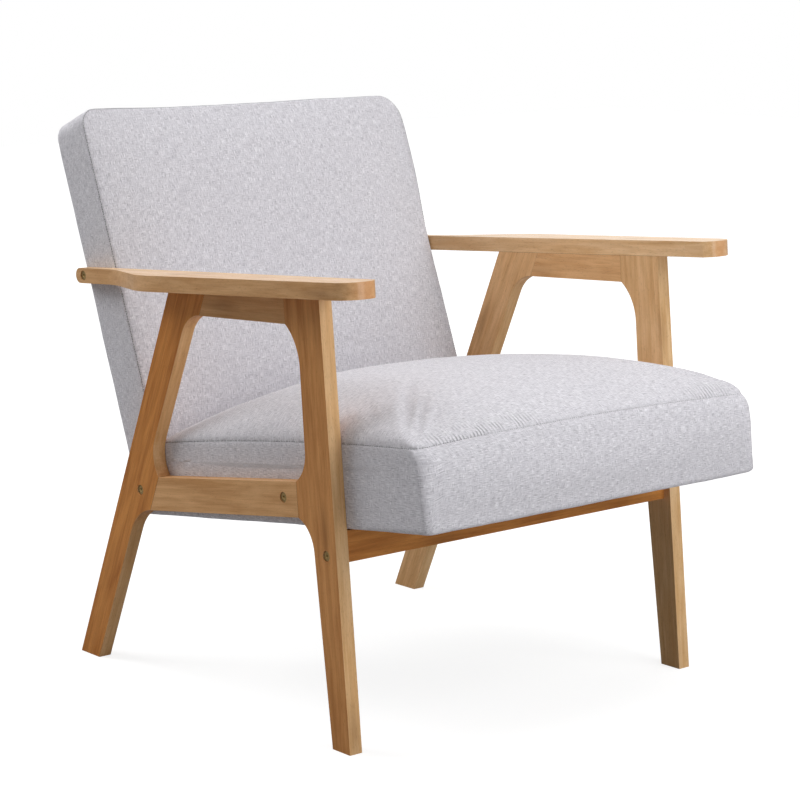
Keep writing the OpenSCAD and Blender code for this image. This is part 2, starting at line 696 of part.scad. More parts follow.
// Rounded rectangle as a list of points, counter-clockwise, with lower and upper corner radii
corner_steps = 4;
side_steps = 6;
function outline(x, y0, y1, r0, r1) =
    let (corners = [
        [x - r0, y0 + r0, r0, -90], [x - r1, y1 - r1, r1, 0],
        [r1 - x, y1 - r1, r1, 90], [r0 - x, y0 + r0, r0, 180]
    ])
    let (arcs = [for (c = corners) [for (i = [0 : corner_steps])
        [c.x + c[2] * cos(c[3] + 90 * i / corner_steps), c.y + c[2] * sin(c[3] + 90 * i / corner_steps)]]])
    [for (n = [0 : 3]) each concat(arcs[n], [for (j = [1 : side_steps - 1])
        arcs[n][corner_steps] + (arcs[(n + 1) % 4][0] - arcs[n][corner_steps]) * (1 - cos(180 * j / side_steps)) / 2])];
// Closed solid through a stack of outlines, flat below and drawn together to a point on top
module skin(rings, peak) {
    n = len(rings[0]);
    last = len(rings) - 1;
    points = concat([for (ring = rings) each ring], [peak]);
    below = [[for (i = [0 : n - 1]) i]];
    around = [for (r = [0 : last - 1]) for (i = [0 : n - 1]) each [
        [r * n + i, (r + 1) * n + i, (r + 1) * n + (i + 1) % n],
        [r * n + i, (r + 1) * n + (i + 1) % n, r * n + (i + 1) % n]
    ]];
    above = [for (i = [0 : n - 1]) [last * n + i, (last + 1) * n, last * n + (i + 1) % n]];
    polyhedron(points = points, faces = concat(below, around, above), convexity = 4);
}
// Fall of a domed surface towards an edge, from 1 in the middle to 0 at the edge
function fall(s, p, q) = pow(max(1 - pow(min(abs(s), 1), p), 0), q);
// Keeps a dome down at its seam; k is the share of the way from the middle to the seam
function seam_hold(k) = sqrt(1 - pow(k, 20));
dome_steps = [0.985, 0.95, 0.89, 0.79, 0.63, 0.43, 0.21];

// Seat cushion: its sides are levels of [height, reach of the front face, set-back of the other sides]
seat_levels = [[0, -3.5, 3.5], [1.2, -1, 1], [4, 0, 0], [66, front_swell, 0], [88, front_swell * 0.2, 0.2]];
// Inside the cover the dome takes fewer steps
seat_inner_steps = [0.985, 0.9, 0.72, 0.42];
// Rise of the ledge from its rear edge to the foot of the cushion
ledge_rise = 0.2;
seam_side_in = 1.2;
hem = 30;
seam_u0 = front_roll;
seat_mid_share = 0.525;
function seat_mid(inset) = seam_u0 + inset + (cushion_d - seam_u0 - 2 * inset) * seat_mid_share;
function reach_at(w) = lookup(w, [for (level = seat_levels) [level[0], level[1]]]);
function seat_ring(w, reach, back, rear, inset) = [
    for (p = outline(cover_x - inset - back, inset - reach, rear - inset - back,
            seat_corner_r - 1.5 * inset, seat_rear_r - inset))
        [p.x, p.y, w]
];
// Rings from the base up to the ledge, and one more on it where the cushion starts
function ledge_rings(levels, ledge, inset) = concat(
    [for (level = levels) seat_ring(level[0], level[1], level[2], seat_d, inset)],
    [seat_ring(ledge - ledge_rise, reach_at(ledge), 0, seat_d, inset)],
    [seat_ring(ledge, reach_at(ledge), 0, cushion_d, inset)]
);
function cushion_rings(ledge, inset) = [
    for (level = seat_levels) if (level[0] > ledge + 2) seat_ring(level[0], level[1], level[2], cushion_d, inset)
];
function seat_seam_line(inset) =
    outline(cover_x - inset - seam_side_in, seam_u0 + inset, cushion_d - inset, seat_corner_r - inset, 8);
function across(x, inset) = x / (cover_x - inset - seam_side_in);
function along(u, inset) =
    let (middle = seat_mid(inset))
    (u - middle) / (u < middle ? middle - seam_u0 - inset : cushion_d - inset - middle);
function seam_w(x, u, inset) =
    seam_h + seam_rise * (1 - pow(across(x, inset), 2) * pow(along(u, inset), 2));
function seat_top(x, u, inset, drop, k) =
    seam_w(x, u, inset) - drop + seat_crown * seam_hold(k) * fall(across(x, inset), 2.41, 0.46)
    * fall(along(u, inset), 2.54, u < seat_mid(inset) ? 0.39 : 0.415);
function seat_dome(inset, drop, steps) = concat(
    [[for (p = seat_seam_line(inset)) [p.x, p.y, seam_w(p.x, p.y, inset) - drop]]],
    [for (k = steps) [for (p = seat_seam_line(inset))
        let (x = p.x * k)
        let (u = seat_mid(inset) + (p.y - seat_mid(inset)) * k)
        [x, u, seat_top(x, u, inset, drop, k)]]]
);
module seat_cushion(rings, inset, drop, steps) {
    skin(concat(rings, seat_dome(inset, drop, steps)),
        [0, seat_mid(inset), seam_h + seam_rise + seat_crown - drop]);
}
module seat_cover() {
    color(linen) difference() {
        in_seat() difference() {
            seat_cushion(concat(ledge_rings([for (level = seat_levels) if (level[0] < 67) level], ledge_w, 0),
                cushion_rings(ledge_w, 0)), 0, 0, dome_steps);
            seat_cushion(concat(ledge_rings([[cover_t, 0, 0], [50, 0, 0]], ledge_w - cover_t, cover_t),
                cushion_rings(ledge_w, cover_t)), cover_t, cover_t, seat_inner_steps);
            translate([hem - cover_x, hem, -past]) cube([2 * (cover_x - hem), seat_d - 2 * hem, cover_t + 2 * past]);
        }
        for (s = [0, 1]) mirror([s, 0, 0]) {
            x_rod(seat_bolt_front_pt, bolt_d + 1.6, -inner_x - past, -box_x + 1, 14);
            x_rod(seat_bolt_rear_pt, bolt_d + 1.6, -inner_x - past, -box_x + 1, 14);
        }
        foot_rod(foot_bolt_d + 1.6, box_w1, ledge_w + past, 14);
        foot_rod(foot_bolt_head_d + 1.6, -past, box_w0 + past, 14);
    }
}
module seat_foam() {
    foam_w0 = box_w1 + 2 * strap_t + 3 * fit + 0.3;
    inset = cover_t + 0.4;
    color(foam) in_seat() seat_cushion(
        concat([seat_ring(foam_w0, front_swell * 0.4, 0, cushion_d, inset)], cushion_rings(ledge_w, inset)),
        inset, cover_t + 0.5, seat_inner_steps);
}

// Back: outlines square to its thickness, from the rear face forward to the front seam
slope_up = tan(back_on_seat);
back_low_r = 7;
// Pieces of the back are drawn this far below its foot, and cut off along the ledge
back_tail = 40;
module back_slab(t0, t1) {
    rotate([90, 0, 0]) translate([0, 0, -t1]) linear_extrude(t1 - t0) children();
}
module back_plan(inset) {
    x = cover_x - inset;
    r = back_corner_r - inset;
    translate([-x, -back_tail]) square([2 * x, back_tail + back_h - inset - r]);
    translate([r - x, 0]) square([2 * (x - r), back_h - inset]);
    for (s = [-1, 1]) translate([s * (x - r), back_h - inset - r]) circle(r = r, $fn = 90);
}
// Cuts a piece of the back off along the seat's ledge
module above_ledge(gap) {
    difference() {
        children();
        in_seat() translate([-cover_x - past, back_at - back_t, ledge_w + gap - 2 * back_tail])
            cube([2 * (cover_x + past), 3 * back_t, 2 * back_tail]);
    }
}
module back_bar(x0, x1, v0, v1) {
    above_ledge(frame_gap) in_back() back_slab(frame_t0, frame_t1) intersection() {
        back_plan(frame_inset);
        translate([x0, v0]) square([x1 - x0, v1 - v0]);
    }
}
module back_right_stile() {
    color(pine) difference() {
        back_bar(-frame_x, -stile_inner_x, -back_tail, back_h);
        tee_nut_hole(back_bolt_pt, -frame_x, -stile_inner_x);
    }
}
module back_left_stile() {
    left_side() back_right_stile();
}
back_top_v = back_h - frame_inset - back_rail_h;
back_bottom_v = 16 + back_rail_h;
module back_top_rail() {
    color(pine) back_bar(-stile_inner_x, stile_inner_x, back_top_v, back_h);
}
module back_bottom_rail() {
    color(pine) difference() {
        back_bar(-stile_inner_x, stile_inner_x, -back_tail, back_bottom_v);
        foot_rod(foot_insert_d + 2 * fit, ledge_w, ledge_w + frame_gap + 1 + foot_insert_l);
        foot_rod(foot_bolt_d + 1, ledge_w, foot_bolt_w1 + 2);
    }
}
module back_corner_blocks() {
    block_t0 = frame_t0 + 5;
    block_t1 = frame_t1 - 5;
    color(pine) for (s = [0, 1]) mirror([s, 0, 0]) in_back() back_slab(block_t0, block_t1) {
        translate([-stile_inner_x, back_bottom_v]) block_plan();
        translate([-stile_inner_x, back_top_v]) mirror([0, 1]) block_plan();
    }
}
back_strap_count = 5;
module back_webbing() {
    first = back_bottom_v + 0.68 * strap_w;
    span = back_top_v - 0.54 * strap_w - first;
    color(strap) in_back() for (i = [0 : back_strap_count - 1])
        translate([-frame_x + 6, frame_t0 - fit - strap_t, first + span * i / (back_strap_count - 1) - strap_w / 2])
            cube([2 * frame_x - 12, strap_t, strap_w]);
}
module back_liner_board() {
    color(pine) above_ledge(frame_gap) in_back() back_slab(frame_t1 + fit, frame_t1 + fit + liner_t) back_plan(9);
}
back_levels = [[back_t, rear_roll], [back_t - 1.8, 1], [back_t - 6, 0], [6, 0]];
back_mid = back_h / 2;
back_seam_in = 0.8;
function back_line(t, inset, roll) =
    outline(cover_x - inset - roll, t * slope_up + inset / cos(back_on_seat), back_h - inset - roll,
        back_low_r, back_corner_r - inset);
function back_ring(t, inset, roll) = [for (p = back_line(t, inset, roll)) [p.x, p.y, -t]];
function back_front(x, v, inset, drop, k) =
    back_crown * seam_hold(k) * fall(x / (cover_x - inset - back_seam_in), 2.4, 0.5)
    * fall((v - back_mid) / (back_mid - inset), 2.2, v < back_mid ? 0.9 : 0.5) - drop;
function back_dome(inset, drop) = concat(
    [[for (p = back_line(0, inset, back_seam_in)) [p.x, p.y, -drop]]],
    [for (k = dome_steps) [for (p = back_line(0, inset, back_seam_in))
        let (x = p.x * k)
        let (v = back_mid + (p.y - back_mid) * k)
        [x, v, back_front(x, v, inset, drop, k)]]]
);
module back_cushion(inset, t_rear, drop) {
    levels = concat([[t_rear, t_rear > back_t - 5 ? rear_roll : 0]],
        [for (level = back_levels) if (level[0] < t_rear - 0.5) level]);
    rotate([90, 0, 0])
        skin(concat([for (level = levels) back_ring(level[0], inset, level[1])], back_dome(inset, drop)),
            [0, back_mid, back_crown - drop]);
}
module back_cover() {
    color(linen) difference() {
        in_back() difference() {
            back_cushion(0, back_t, 0);
            back_cushion(cover_t, back_t - cover_t, cover_t);
        }
        for (s = [0, 1]) mirror([s, 0, 0])
            x_rod(back_bolt_pt, bolt_d + 1.6, -inner_x - past, -frame_x + 1, 14);
        foot_rod(foot_bolt_d + 1.6, ledge_w, ledge_w + frame_gap + 1, 14);
    }
}
module back_foam() {
    color(foam) in_back() back_cushion(cover_t + 0.4, frame_t0 - fit - strap_t - 0.4, cover_t + 0.5);
}

right_front_leg();
left_front_leg();
right_rear_leg();
left_rear_leg();
right_top_rail();
left_top_rail();
right_seat_rail();
left_seat_rail();
right_armrest();
left_armrest();
front_crossbar();
frame_dowels();
armrest_dowels();
crossbar_dowels();
crossbar_bolts();
crossbar_barrel_nuts();
seat_bolts();
seat_tee_nuts();
armrest_bolts();
back_tee_nuts();
back_foot_bolts();
back_foot_inserts();
seat_front_rail();
seat_rear_rail();
seat_cross_rail();
seat_right_side_rail();
seat_left_side_rail();
seat_corner_blocks();
seat_ledge_board();
seat_webbing_lengthwise();
seat_webbing_crosswise();
seat_foam();
seat_cover();
seat_dust_cover();
back_right_stile();
back_left_stile();
back_top_rail();
back_bottom_rail();
back_corner_blocks();
back_webbing();
back_foam();
back_liner_board();
back_cover();
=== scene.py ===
"""Dresses the accent chair: oiled wooden side frames, two linen cushions with sewn seams, and its fittings."""
import json
import math

import bmesh
import bpy
import numpy as np
from bpy.props import FloatProperty, FloatVectorProperty, PointerProperty
from mathutils import Matrix, Vector, kdtree, noise
from mathutils.bvhtree import BVHTree


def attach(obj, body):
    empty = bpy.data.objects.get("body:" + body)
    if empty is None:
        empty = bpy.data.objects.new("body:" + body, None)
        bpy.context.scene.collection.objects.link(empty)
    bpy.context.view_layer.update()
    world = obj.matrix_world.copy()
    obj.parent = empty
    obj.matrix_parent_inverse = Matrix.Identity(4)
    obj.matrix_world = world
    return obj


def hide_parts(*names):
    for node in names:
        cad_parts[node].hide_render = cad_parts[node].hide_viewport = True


bl_info = {
    "name": "Accent Chair",
    "version": (1, 0, 0),
    "blender": (4, 5, 0),
    "location": "View3D > Sidebar > Chair",
    "description": "Makes the wood, cushions, seams and fittings of an accent chair",
    "category": "Object",
}

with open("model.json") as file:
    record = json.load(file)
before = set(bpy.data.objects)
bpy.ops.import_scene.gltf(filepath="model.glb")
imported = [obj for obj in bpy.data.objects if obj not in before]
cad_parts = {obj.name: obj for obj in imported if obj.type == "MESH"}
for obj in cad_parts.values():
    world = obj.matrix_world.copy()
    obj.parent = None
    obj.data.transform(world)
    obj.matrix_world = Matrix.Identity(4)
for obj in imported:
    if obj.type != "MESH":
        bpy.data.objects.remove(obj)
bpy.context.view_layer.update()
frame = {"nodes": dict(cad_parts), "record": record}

# The seat's and the back's own directions, in metres, as the solids have them
DEPTH_MID = 0.285914
SEAT_TILT = math.radians(7.65)
BACK_LEAN = math.radians(20.7)
SEAT_FRONT = 0.1392
SEAT_HEIGHT = 0.3162
COVER_X = 0.2896
SEAT_DEPTH = 0.664
CUSHION_DEPTH = 0.587
SEAM_FRONT = 0.011
SEAM_X = 0.2884
SEAM_HEIGHT = 0.104
SEAM_RISE = 0.006
SEAT_CROWN = 0.0757
LEDGE_HEIGHT = 0.0786
BACK_HEIGHT = 0.516
BACK_THICK = 0.076
BACK_CROWN = 0.031
BACK_SLOPE = math.tan(BACK_LEAN - SEAT_TILT)

# The cloth simulation of the cushions
PRESSURE = 4.0
FRAMES = 20
SEAM_PIN = 0.0065

# Height of the padding's unevenness
ROUGH = 0.0008


def length_field(name, text, default, low, high):
    return FloatProperty(name=name, description=text, default=default, min=low, max=high, unit="LENGTH", precision=4)


def colour_field(name, text, *default):
    return FloatVectorProperty(name=name, description=text, default=default, size=3, min=0, max=1, subtype="COLOR")


def power_field(name, text, default):
    return FloatProperty(name=name, description=text, default=default, min=0, unit="POWER")


class ChairWood(bpy.types.PropertyGroup):
    """Shape and colours of the wooden parts"""
    edge_radius: length_field("Edge radius", "Round-over along the boards' edges", 0.0024, 0.0005, 0.006)
    joint_radius: length_field("Joint edge", "Small break of the edges where boards meet", 0.0009, 0.0, 0.002)
    pale: colour_field("Pale wood", "Light colour of the palest boards", 0.885, 0.612, 0.343)
    honey: colour_field("Honey wood", "Darker colour of the palest boards", 0.725, 0.436, 0.194)
    # The deep pair also carries painted shade: it colours the boards that stand in shade
    amber: colour_field("Amber wood", "Light colour of the deepest boards", 0.740, 0.310, 0.078)
    russet: colour_field("Russet wood", "Darker colour of the deepest boards", 0.480, 0.166, 0.035)
    dark: colour_field("Dark grain", "Colour of the pores and dark streaks", 0.235, 0.100, 0.030)


class ChairCloth(bpy.types.PropertyGroup):
    """Linen cover, seams and thread"""
    light: colour_field("Light yarn", "Colour of the pale yarn", 0.940, 0.925, 0.972)
    dark: colour_field("Dark yarn", "Colour of the darker yarn", 0.500, 0.486, 0.530)
    yarn: length_field("Yarn pitch", "Distance from one yarn to the next", 0.0011, 0.0004, 0.003)
    swell: length_field("Swell", "How far the padding may lift the cover in the cloth simulation", 0.008, 0.0, 0.016)
    voxel: length_field("Simulation voxel", "Mesh size of the simulated cover", 0.006, 0.004, 0.02)
    stitch: length_field("Stitch length", "Length of one stitch in the seams", 0.0024, 0.001, 0.008)
    pitch: length_field("Stitch pitch", "Distance from one stitch to the next", 0.0037, 0.0015, 0.012)
    thread: length_field("Thread", "Thickness of the sewing thread", 0.0009, 0.0003, 0.002)


class ChairMetal(bpy.types.PropertyGroup):
    """Bolt heads and inner fittings"""
    brass: colour_field("Antique brass", "Colour of the bolt heads", 0.420, 0.290, 0.120)
    steel: colour_field("Zinc steel", "Colour of the nuts", 0.560, 0.570, 0.580)
    head_edge: length_field("Head edge", "Round-over of the bolt heads", 0.0005, 0.0001, 0.001)


class ChairStage(bpy.types.PropertyGroup):
    """Floor, lamps and camera"""
    key: power_field("Key lamp", "Power of the low front lamp", 13.0)
    front: power_field("Front lamp", "Power of the high front right lamp", 24.0)
    top: power_field("Top lamp", "Power of the lamp overhead", 30.0)
    rim: power_field("Rim lamp", "Power of the lamp behind on the left", 46.0)
    side: power_field("Side lamp", "Power of the lamp on the right", 6.0)
    air: FloatProperty(name="Room light", description="Strength of the even light from all round",
                       default=0.245, min=0, max=2)
    lens: FloatProperty(name="Lens", description="Focal length of the camera", default=0.11191, min=0.02, max=0.3,
                        unit="CAMERA", precision=5)


# Points of the seat and of the back in the shared frame

def tilted(x, u, w, tilt, y, z):
    """Depth u along a slope and height w square to it, to the shared frame."""
    c, s = math.cos(tilt), math.sin(tilt)
    return np.stack(np.broadcast_arrays(x, u * c + w * s + y, z - u * s + w * c), -1)


def from_seat(x, u, w):
    """Depth u along the seat's slope and height w square to it, to the shared frame."""
    return tilted(x, u, w, SEAT_TILT, -SEAT_FRONT - DEPTH_MID, SEAT_HEIGHT)


BACK_FOOT = from_seat(0.0, 0.5922, 0.0790)


def from_back(x, v, t):
    """Height v up the back's lean and depth t behind its front seam, to the shared frame."""
    return tilted(x, t, v, BACK_LEAN, BACK_FOOT[1], BACK_FOOT[2])


def axes(place):
    """The directions in which the seat's or the back's three coordinates grow."""
    return np.array([place(*way) for way in np.eye(3)]) - place(0.0, 0.0, 0.0)


def fall(s, p, q):
    """From 1 in the middle of a dome to 0 at its edge."""
    return np.maximum(1 - np.minimum(np.abs(s), 1) ** p, 0) ** q


def outline(x, y0, y1, r0, r1, sides=100, corner=10, r2=None, r3=None):
    """Rounded rectangle, counter-clockwise from its lower right corner, as an array of points."""
    r2, r3 = r2 or r1, r3 or r0
    turn = np.radians(90 * np.arange(corner + 1) / corner)
    share = np.arange(1, sides) / sides
    arcs = []
    for cx, cy, r, start in ((x - r0, y0 + r0, r0, -90), (x - r1, y1 - r1, r1, 0),
                             (r2 - x, y1 - r2, r2, 90), (r3 - x, y0 + r3, r3, 180)):
        a = turn + math.radians(start)
        arcs.append(np.stack([cx + r * np.cos(a), cy + r * np.sin(a)], -1))
    out = []
    for n in range(4):
        run = arcs[(n + 1) % 4][0] - arcs[n][-1]
        out += [arcs[n], arcs[n][-1] + share[:, None] * run]
    return np.concatenate(out)


def eased(value, low, high):
    """Rises smoothly from 0 at low to 1 at high."""
    share = np.clip((value - low) / (high - low), 0, 1)
    return share * share * (3 - 2 * share)


def soft_curve(knots, at, blur=0.003):
    """A smooth curve through levels given as (place, value)."""
    knots = np.array(knots)
    step, past = 0.0005, 0.02
    grid = np.arange(knots[0, 0] - past, knots[-1, 0] + past, step)
    slopes = [(b - a) / (b - a)[0] for a, b in (knots[:2], knots[-2:])]
    place, value = np.vstack([knots[0] - 2 * past * slopes[0], knots, knots[-1] + 2 * past * slopes[1]]).T
    line = np.interp(grid, place, value)
    reach = np.arange(-30, 31) * step
    weight = np.exp(-0.5 * (reach / blur) ** 2)
    line = np.convolve(np.pad(line, 30, "edge"), weight / weight.sum(), "valid")
    return np.interp(at, grid, line)


SEAT_MIDDLE = SEAM_FRONT + (CUSHION_DEPTH - SEAM_FRONT) * 0.525


def seam_hold(k):
    """Keeps a dome down at its seam."""
    return np.sqrt(np.maximum(1 - k ** 20, 0))


def seat_share(u):
    """Depth along the cushion, from -1 at the front seam to 1 at the rear one."""
    return (u - SEAT_MIDDLE) / np.where(u < SEAT_MIDDLE, SEAT_MIDDLE - SEAM_FRONT, CUSHION_DEPTH - SEAT_MIDDLE)


def seat_seam(x, u):
    """Height of the cushion's top seam."""
    return SEAM_HEIGHT + SEAM_RISE * (1 - (x / SEAM_X) ** 2 * seat_share(u) ** 2)


def seat_top(x, u, k):
    """Height of the cushion's dome, held down at its seam, where k is 1."""
    s = seat_share(u)
    wide = np.maximum(fall(x / SEAM_X, 2.0, 0.304), 1e-4)
    deep = np.maximum(np.where(u < SEAT_MIDDLE, fall(s, 2.03, 0.487), fall(s, 2.235, 0.352)), 1e-4)
    power = 2.16 + 1.5 * np.clip((x - 0.17) / 0.09, 0, 1) * np.clip(1.2 - u / 0.2, 0, 1)
    full = (wide ** -power + deep ** -power - 1) ** (-1 / power)
    full = full * (1 + 0.10 * eased(x, 0.10, 0.22) * (1 - eased(u, 0.06, 0.20)))
    return seat_seam(x, u) + SEAT_CROWN * seam_hold(k) * (wide * deep + (full - wide * deep) * np.clip(-2 * s, 0, 1))


def seat_puff(x, u, level):
    """Widening of the cushion's front, which stands clear of the frame, most at its left corner."""
    left = 0.011 * (x > 0) * eased(level, 0.02, 0.10) * (1 - eased(u, 0.0, 0.11))
    return 1 + 0.0095 * (1 - eased(u, 0.05, 0.125)) + left


def seat_droop(u):
    """How far the cushion's front hangs below its plane."""
    return 0.004 * np.clip(1 - u / 0.28, 0, 1)


def back_front(x, v, k):
    """How far the back cushion's dome stands in front of its seam, where k is 1."""
    s = (v - BACK_HEIGHT / 2) / (BACK_HEIGHT / 2)
    high = np.where(s < 0, fall(s, 2.2, 0.9), fall(s, 2.2, 0.47))
    return BACK_CROWN * seam_hold(k) * fall(x / (COVER_X - 0.0008), 2.6, 0.42) * high


# Nodes

class Value:
    """A node's output. Arithmetic on it adds Math nodes to its tree."""

    def __init__(self, socket):
        self.socket = socket
        self.tree = socket.id_data

    def math(self, operation, *others):
        return add(self.tree, "ShaderNodeMath", dict(enumerate((self, *others))), operation=operation)

    def scaled(self, by):
        return add(self.tree, "ShaderNodeVectorMath", {0: self, 1: by}, operation="MULTIPLY")

    def __add__(self, other):
        return self.math("ADD", other)

    def __sub__(self, other):
        return self.math("SUBTRACT", other)

    def __mul__(self, other):
        return self.math("MULTIPLY", other)

    def __truediv__(self, other):
        return self.math("DIVIDE", other)


def having(thing, **fields):
    """Sets fields of a thing and gives it back."""
    for field, value in fields.items():
        setattr(thing, field, value)
    return thing


def fill(made, inputs):
    """Joins outputs to a node's inputs, or sets their values."""
    for name, value in inputs.items():
        target = made.inputs[name]
        if isinstance(value, Value):
            made.id_data.links.new(value.socket, target)
        else:
            target.default_value = (*value, 1)[:4] if target.type == "RGBA" else value
    return made


def add(tree, kind, inputs=None, pick=0, **settings):
    """Adds a node and gives one of its outputs, or the node itself where pick is None."""
    made = fill(having(tree.nodes.new(kind), **settings), inputs or {})
    return made if pick is None else Value(made.outputs[pick])


def new_tree(name, kind, inputs, outputs):
    """A node group with named sockets, and a function that gives its inputs."""
    tree = bpy.data.node_groups.new(name, kind)
    for way, sockets in (("INPUT", inputs), ("OUTPUT", outputs)):
        for label, (sort, value) in sockets.items():
            socket = tree.interface.new_socket(label, in_out=way, socket_type="NodeSocket" + sort)
            if value is not None:
                socket.default_value = value
    start = tree.nodes.new("NodeGroupInput")
    return tree, lambda label: Value(start.outputs[label])


def clouds(vector, scale, detail=2.0, rough=0.5, warp=0.0):
    """Value of a noise texture."""
    return add(vector.tree, "ShaderNodeTexNoise", {"Vector": vector, "Scale": scale, "Detail": detail,
                                                   "Roughness": rough, "Distortion": warp}, "Fac")


def ramp(value, low, high, out_low=0.0, out_high=1.0):
    """Maps a value's range to another, clamped."""
    return add(value.tree, "ShaderNodeMapRange", {"Value": value, "From Min": low, "From Max": high,
                                                  "To Min": out_low, "To Max": out_high}, "Result")


def mixed(share, a, b):
    """Mixes two values."""
    return add(share.tree, "ShaderNodeMix", {0: share, 2: a, 3: b}, data_type="FLOAT")


def blended(share, a, b):
    """Mixes two colours."""
    return add(share.tree, "ShaderNodeMix", {0: share, 6: a, 7: b}, 2, data_type="RGBA")


def toned(colour, by):
    """A colour made darker or lighter."""
    return tuple(min(by * c, 1) for c in colour)


def stored(tree, name, pick="Fac"):
    """A named attribute of the mesh."""
    return add(tree, "ShaderNodeAttribute", pick=pick, attribute_name=name)


def own_place(tree):
    return add(tree, "ShaderNodeTexCoord", pick="Object")


def bump(height, depth, strength=1.0):
    return add(height.tree, "ShaderNodeBump", {"Height": height, "Distance": depth, "Strength": strength})


def grain_group():
    """Long grain, growth bands and pores of a board whose grain runs along its first coordinate."""
    if "Board grain" in bpy.data.node_groups:
        return bpy.data.node_groups["Board grain"]
    tree, start = new_tree("Board grain", "ShaderNodeTree", {"Vector": ("Vector", None), "Tightness": ("Float", 1.0)},
                           dict.fromkeys(("Tone", "Bands", "Pores", "Height"), ("Float", None)))
    base = add(tree, "ShaderNodeVectorMath", {0: start("Vector"), "Scale": start("Tightness")}, operation="SCALE")

    def drawn(along, across, *shape):
        return clouds(base.scaled((along, across, across)), 1.0, *shape)

    fine = drawn(24.0, 620.0, 3.0, 0.6)
    broad = drawn(2.6, 26.0, 2.0, 0.5, 0.4)
    bands = ramp(((broad + drawn(3.0, 14.0, 1.0)) * 34.0).math("SINE"), -1.0, 1.0)
    pores = ramp(drawn(170.0, 1500.0, 1.0), 0.62, 0.72)
    tone = drawn(6.0, 130.0, 4.0, 0.55, 0.4) * 0.42 + fine * 0.26 + drawn(9.0, 48.0, 2.0, 0.5, 0.8) * 0.32
    knots = add(tree, "ShaderNodeTexVoronoi", {"Vector": base.scaled((5.5, 22.0, 22.0)), "Scale": 1.0}, "Distance")
    figure = ramp(knots, 0.26, 0.06) * 1.6 + (bands * 0.40 + broad * 0.50)
    add(tree, "NodeGroupOutput", {"Tone": ramp(tone, 0.40, 0.60), "Bands": figure, "Pores": pores,
                                  "Height": fine * 0.35 - pores * 0.65}, None)
    return tree


def weave_group():
    """Plain weave of slubby yarn, over coordinates in metres."""
    if "Linen weave" in bpy.data.node_groups:
        return bpy.data.node_groups["Linen weave"]
    tree, start = new_tree("Linen weave", "ShaderNodeTree",
                           {"Vector": ("Vector", None), "Pitch": ("Float", 0.0011), "Weft share": ("Float", 0.5)},
                           dict.fromkeys(("Melange", "Height"), ("Float", None)))
    here = start("Vector")
    drift = add(tree, "ShaderNodeTexNoise", {"Vector": here, "Scale": 90.0, "Detail": 2.0}, "Color")
    drift = add(tree, "ShaderNodeVectorMath", {0: drift, 1: (0.5, 0.5, 0.5)}, operation="SUBTRACT")
    bent = add(tree, "ShaderNodeVectorMath", {0: drift, 1: (0.0012, 0.0012, 0.0), 2: here}, operation="MULTIPLY_ADD")
    across, along = (add(tree, "ShaderNodeSeparateXYZ", {0: bent}, n) / start("Pitch") for n in (0, 1))
    over = (across.math("FLOOR") + along.math("FLOOR")).math("ABSOLUTE").math("MODULO", 2.0)
    round_x, round_y = ((way.math("FRACT") * math.pi).math("SINE") for way in (across, along))
    top = mixed(over, round_x * (round_y * 0.45 + 0.55), round_y * (round_x * 0.45 + 0.55))
    threads = []
    for size in ((1000.0, 110.0, 1.0), (110.0, 1000.0, 1.0)):
        apart = clouds(bent.scaled(size), 1.0, 1.0) - 0.5
        threads.append(apart * (apart * apart))
    soft = clouds(bent.scaled((60.0, 60.0, 1.0)), 1.0) * 0.05 + 0.475
    slubs = mixed(start("Weft share"), *threads) * 26.0 + soft
    # The melange takes a little of the yarn crowns' height, so the dips between yarns are painted a shade darker
    add(tree, "NodeGroupOutput", {"Melange": ramp((top - 0.6) * 0.05 + slubs, 0.42, 0.58),
                                  "Height": slubs * 0.8 + top}, None)
    return tree


def new_material(name):
    made = bpy.data.materials.new(name)
    made.use_nodes = True
    return made, made.node_tree, made.node_tree.nodes["Principled BSDF"]


def used_group(tree, group, inputs):
    """A group's outputs by name."""
    made = add(tree, "ShaderNodeGroup", None, None, node_tree=group)
    fill(made, inputs)
    return lambda label: Value(made.outputs[label])


def board_material(name, pale, honey, dark, tightness=1.0, turn=None, deep=None):
    """Finished wood. Boards carry their own grain coordinates, and hidden ones use the object's, turned."""
    made, tree, shader = new_material(name)
    if turn is None:
        where = stored(tree, "grain", "Vector")
    else:
        where = add(tree, "ShaderNodeMapping", {"Vector": own_place(tree), "Location": (0.3, 0.1, 0.2),
                                                "Rotation": turn})
    grain = used_group(tree, grain_group(), {"Vector": where, "Tightness": tightness})
    colour = blended(grain("Tone"), pale, honey)
    # Partly board tone and partly painted shade: the depth attribute moves each face toward the deep pair, and faces
    # turned to the lamps toward the pale pair as a painted highlight
    if deep:
        colour = blended(stored(tree, "depth"), colour, blended(grain("Tone"), *deep))
    colour = blended(grain("Bands") * 0.20, colour, dark)
    colour = blended(grain("Pores") * 0.34, colour, dark)
    if turn is None:
        edge = stored(tree, "edge")
        red = tuple(a * b for a, b in zip(honey, (0.86, 0.62, 0.55)))
        colour = blended(stored(tree, "end_cut") * 0.45, colour, red)
        # Rounded edges are paler: partly a painted highlight where the edges catch the light, partly wear through the
        # finish. Faces at joints are darker for the dark joint lines
        colour = blended(ramp(edge, 0.0, 1.0, 0.0, 0.22), colour, pale)
        colour = blended(ramp(edge, 0.0, -1.0, 0.0, 0.92), colour, toned(dark, 0.3))
        fill(shader, {"Coat Weight": stored(tree, "gloss")})
    gloss = grain("Tone") * 0.06 + ramp(grain("Pores"), 0.0, 1.0, 0.40, 0.58)
    fill(shader, {"Base Color": colour, "Roughness": gloss, "Coat Roughness": 0.18, "Specular IOR Level": 0.10,
                  "Normal": bump(grain("Height"), 0.00018, 0.5)})
    return made


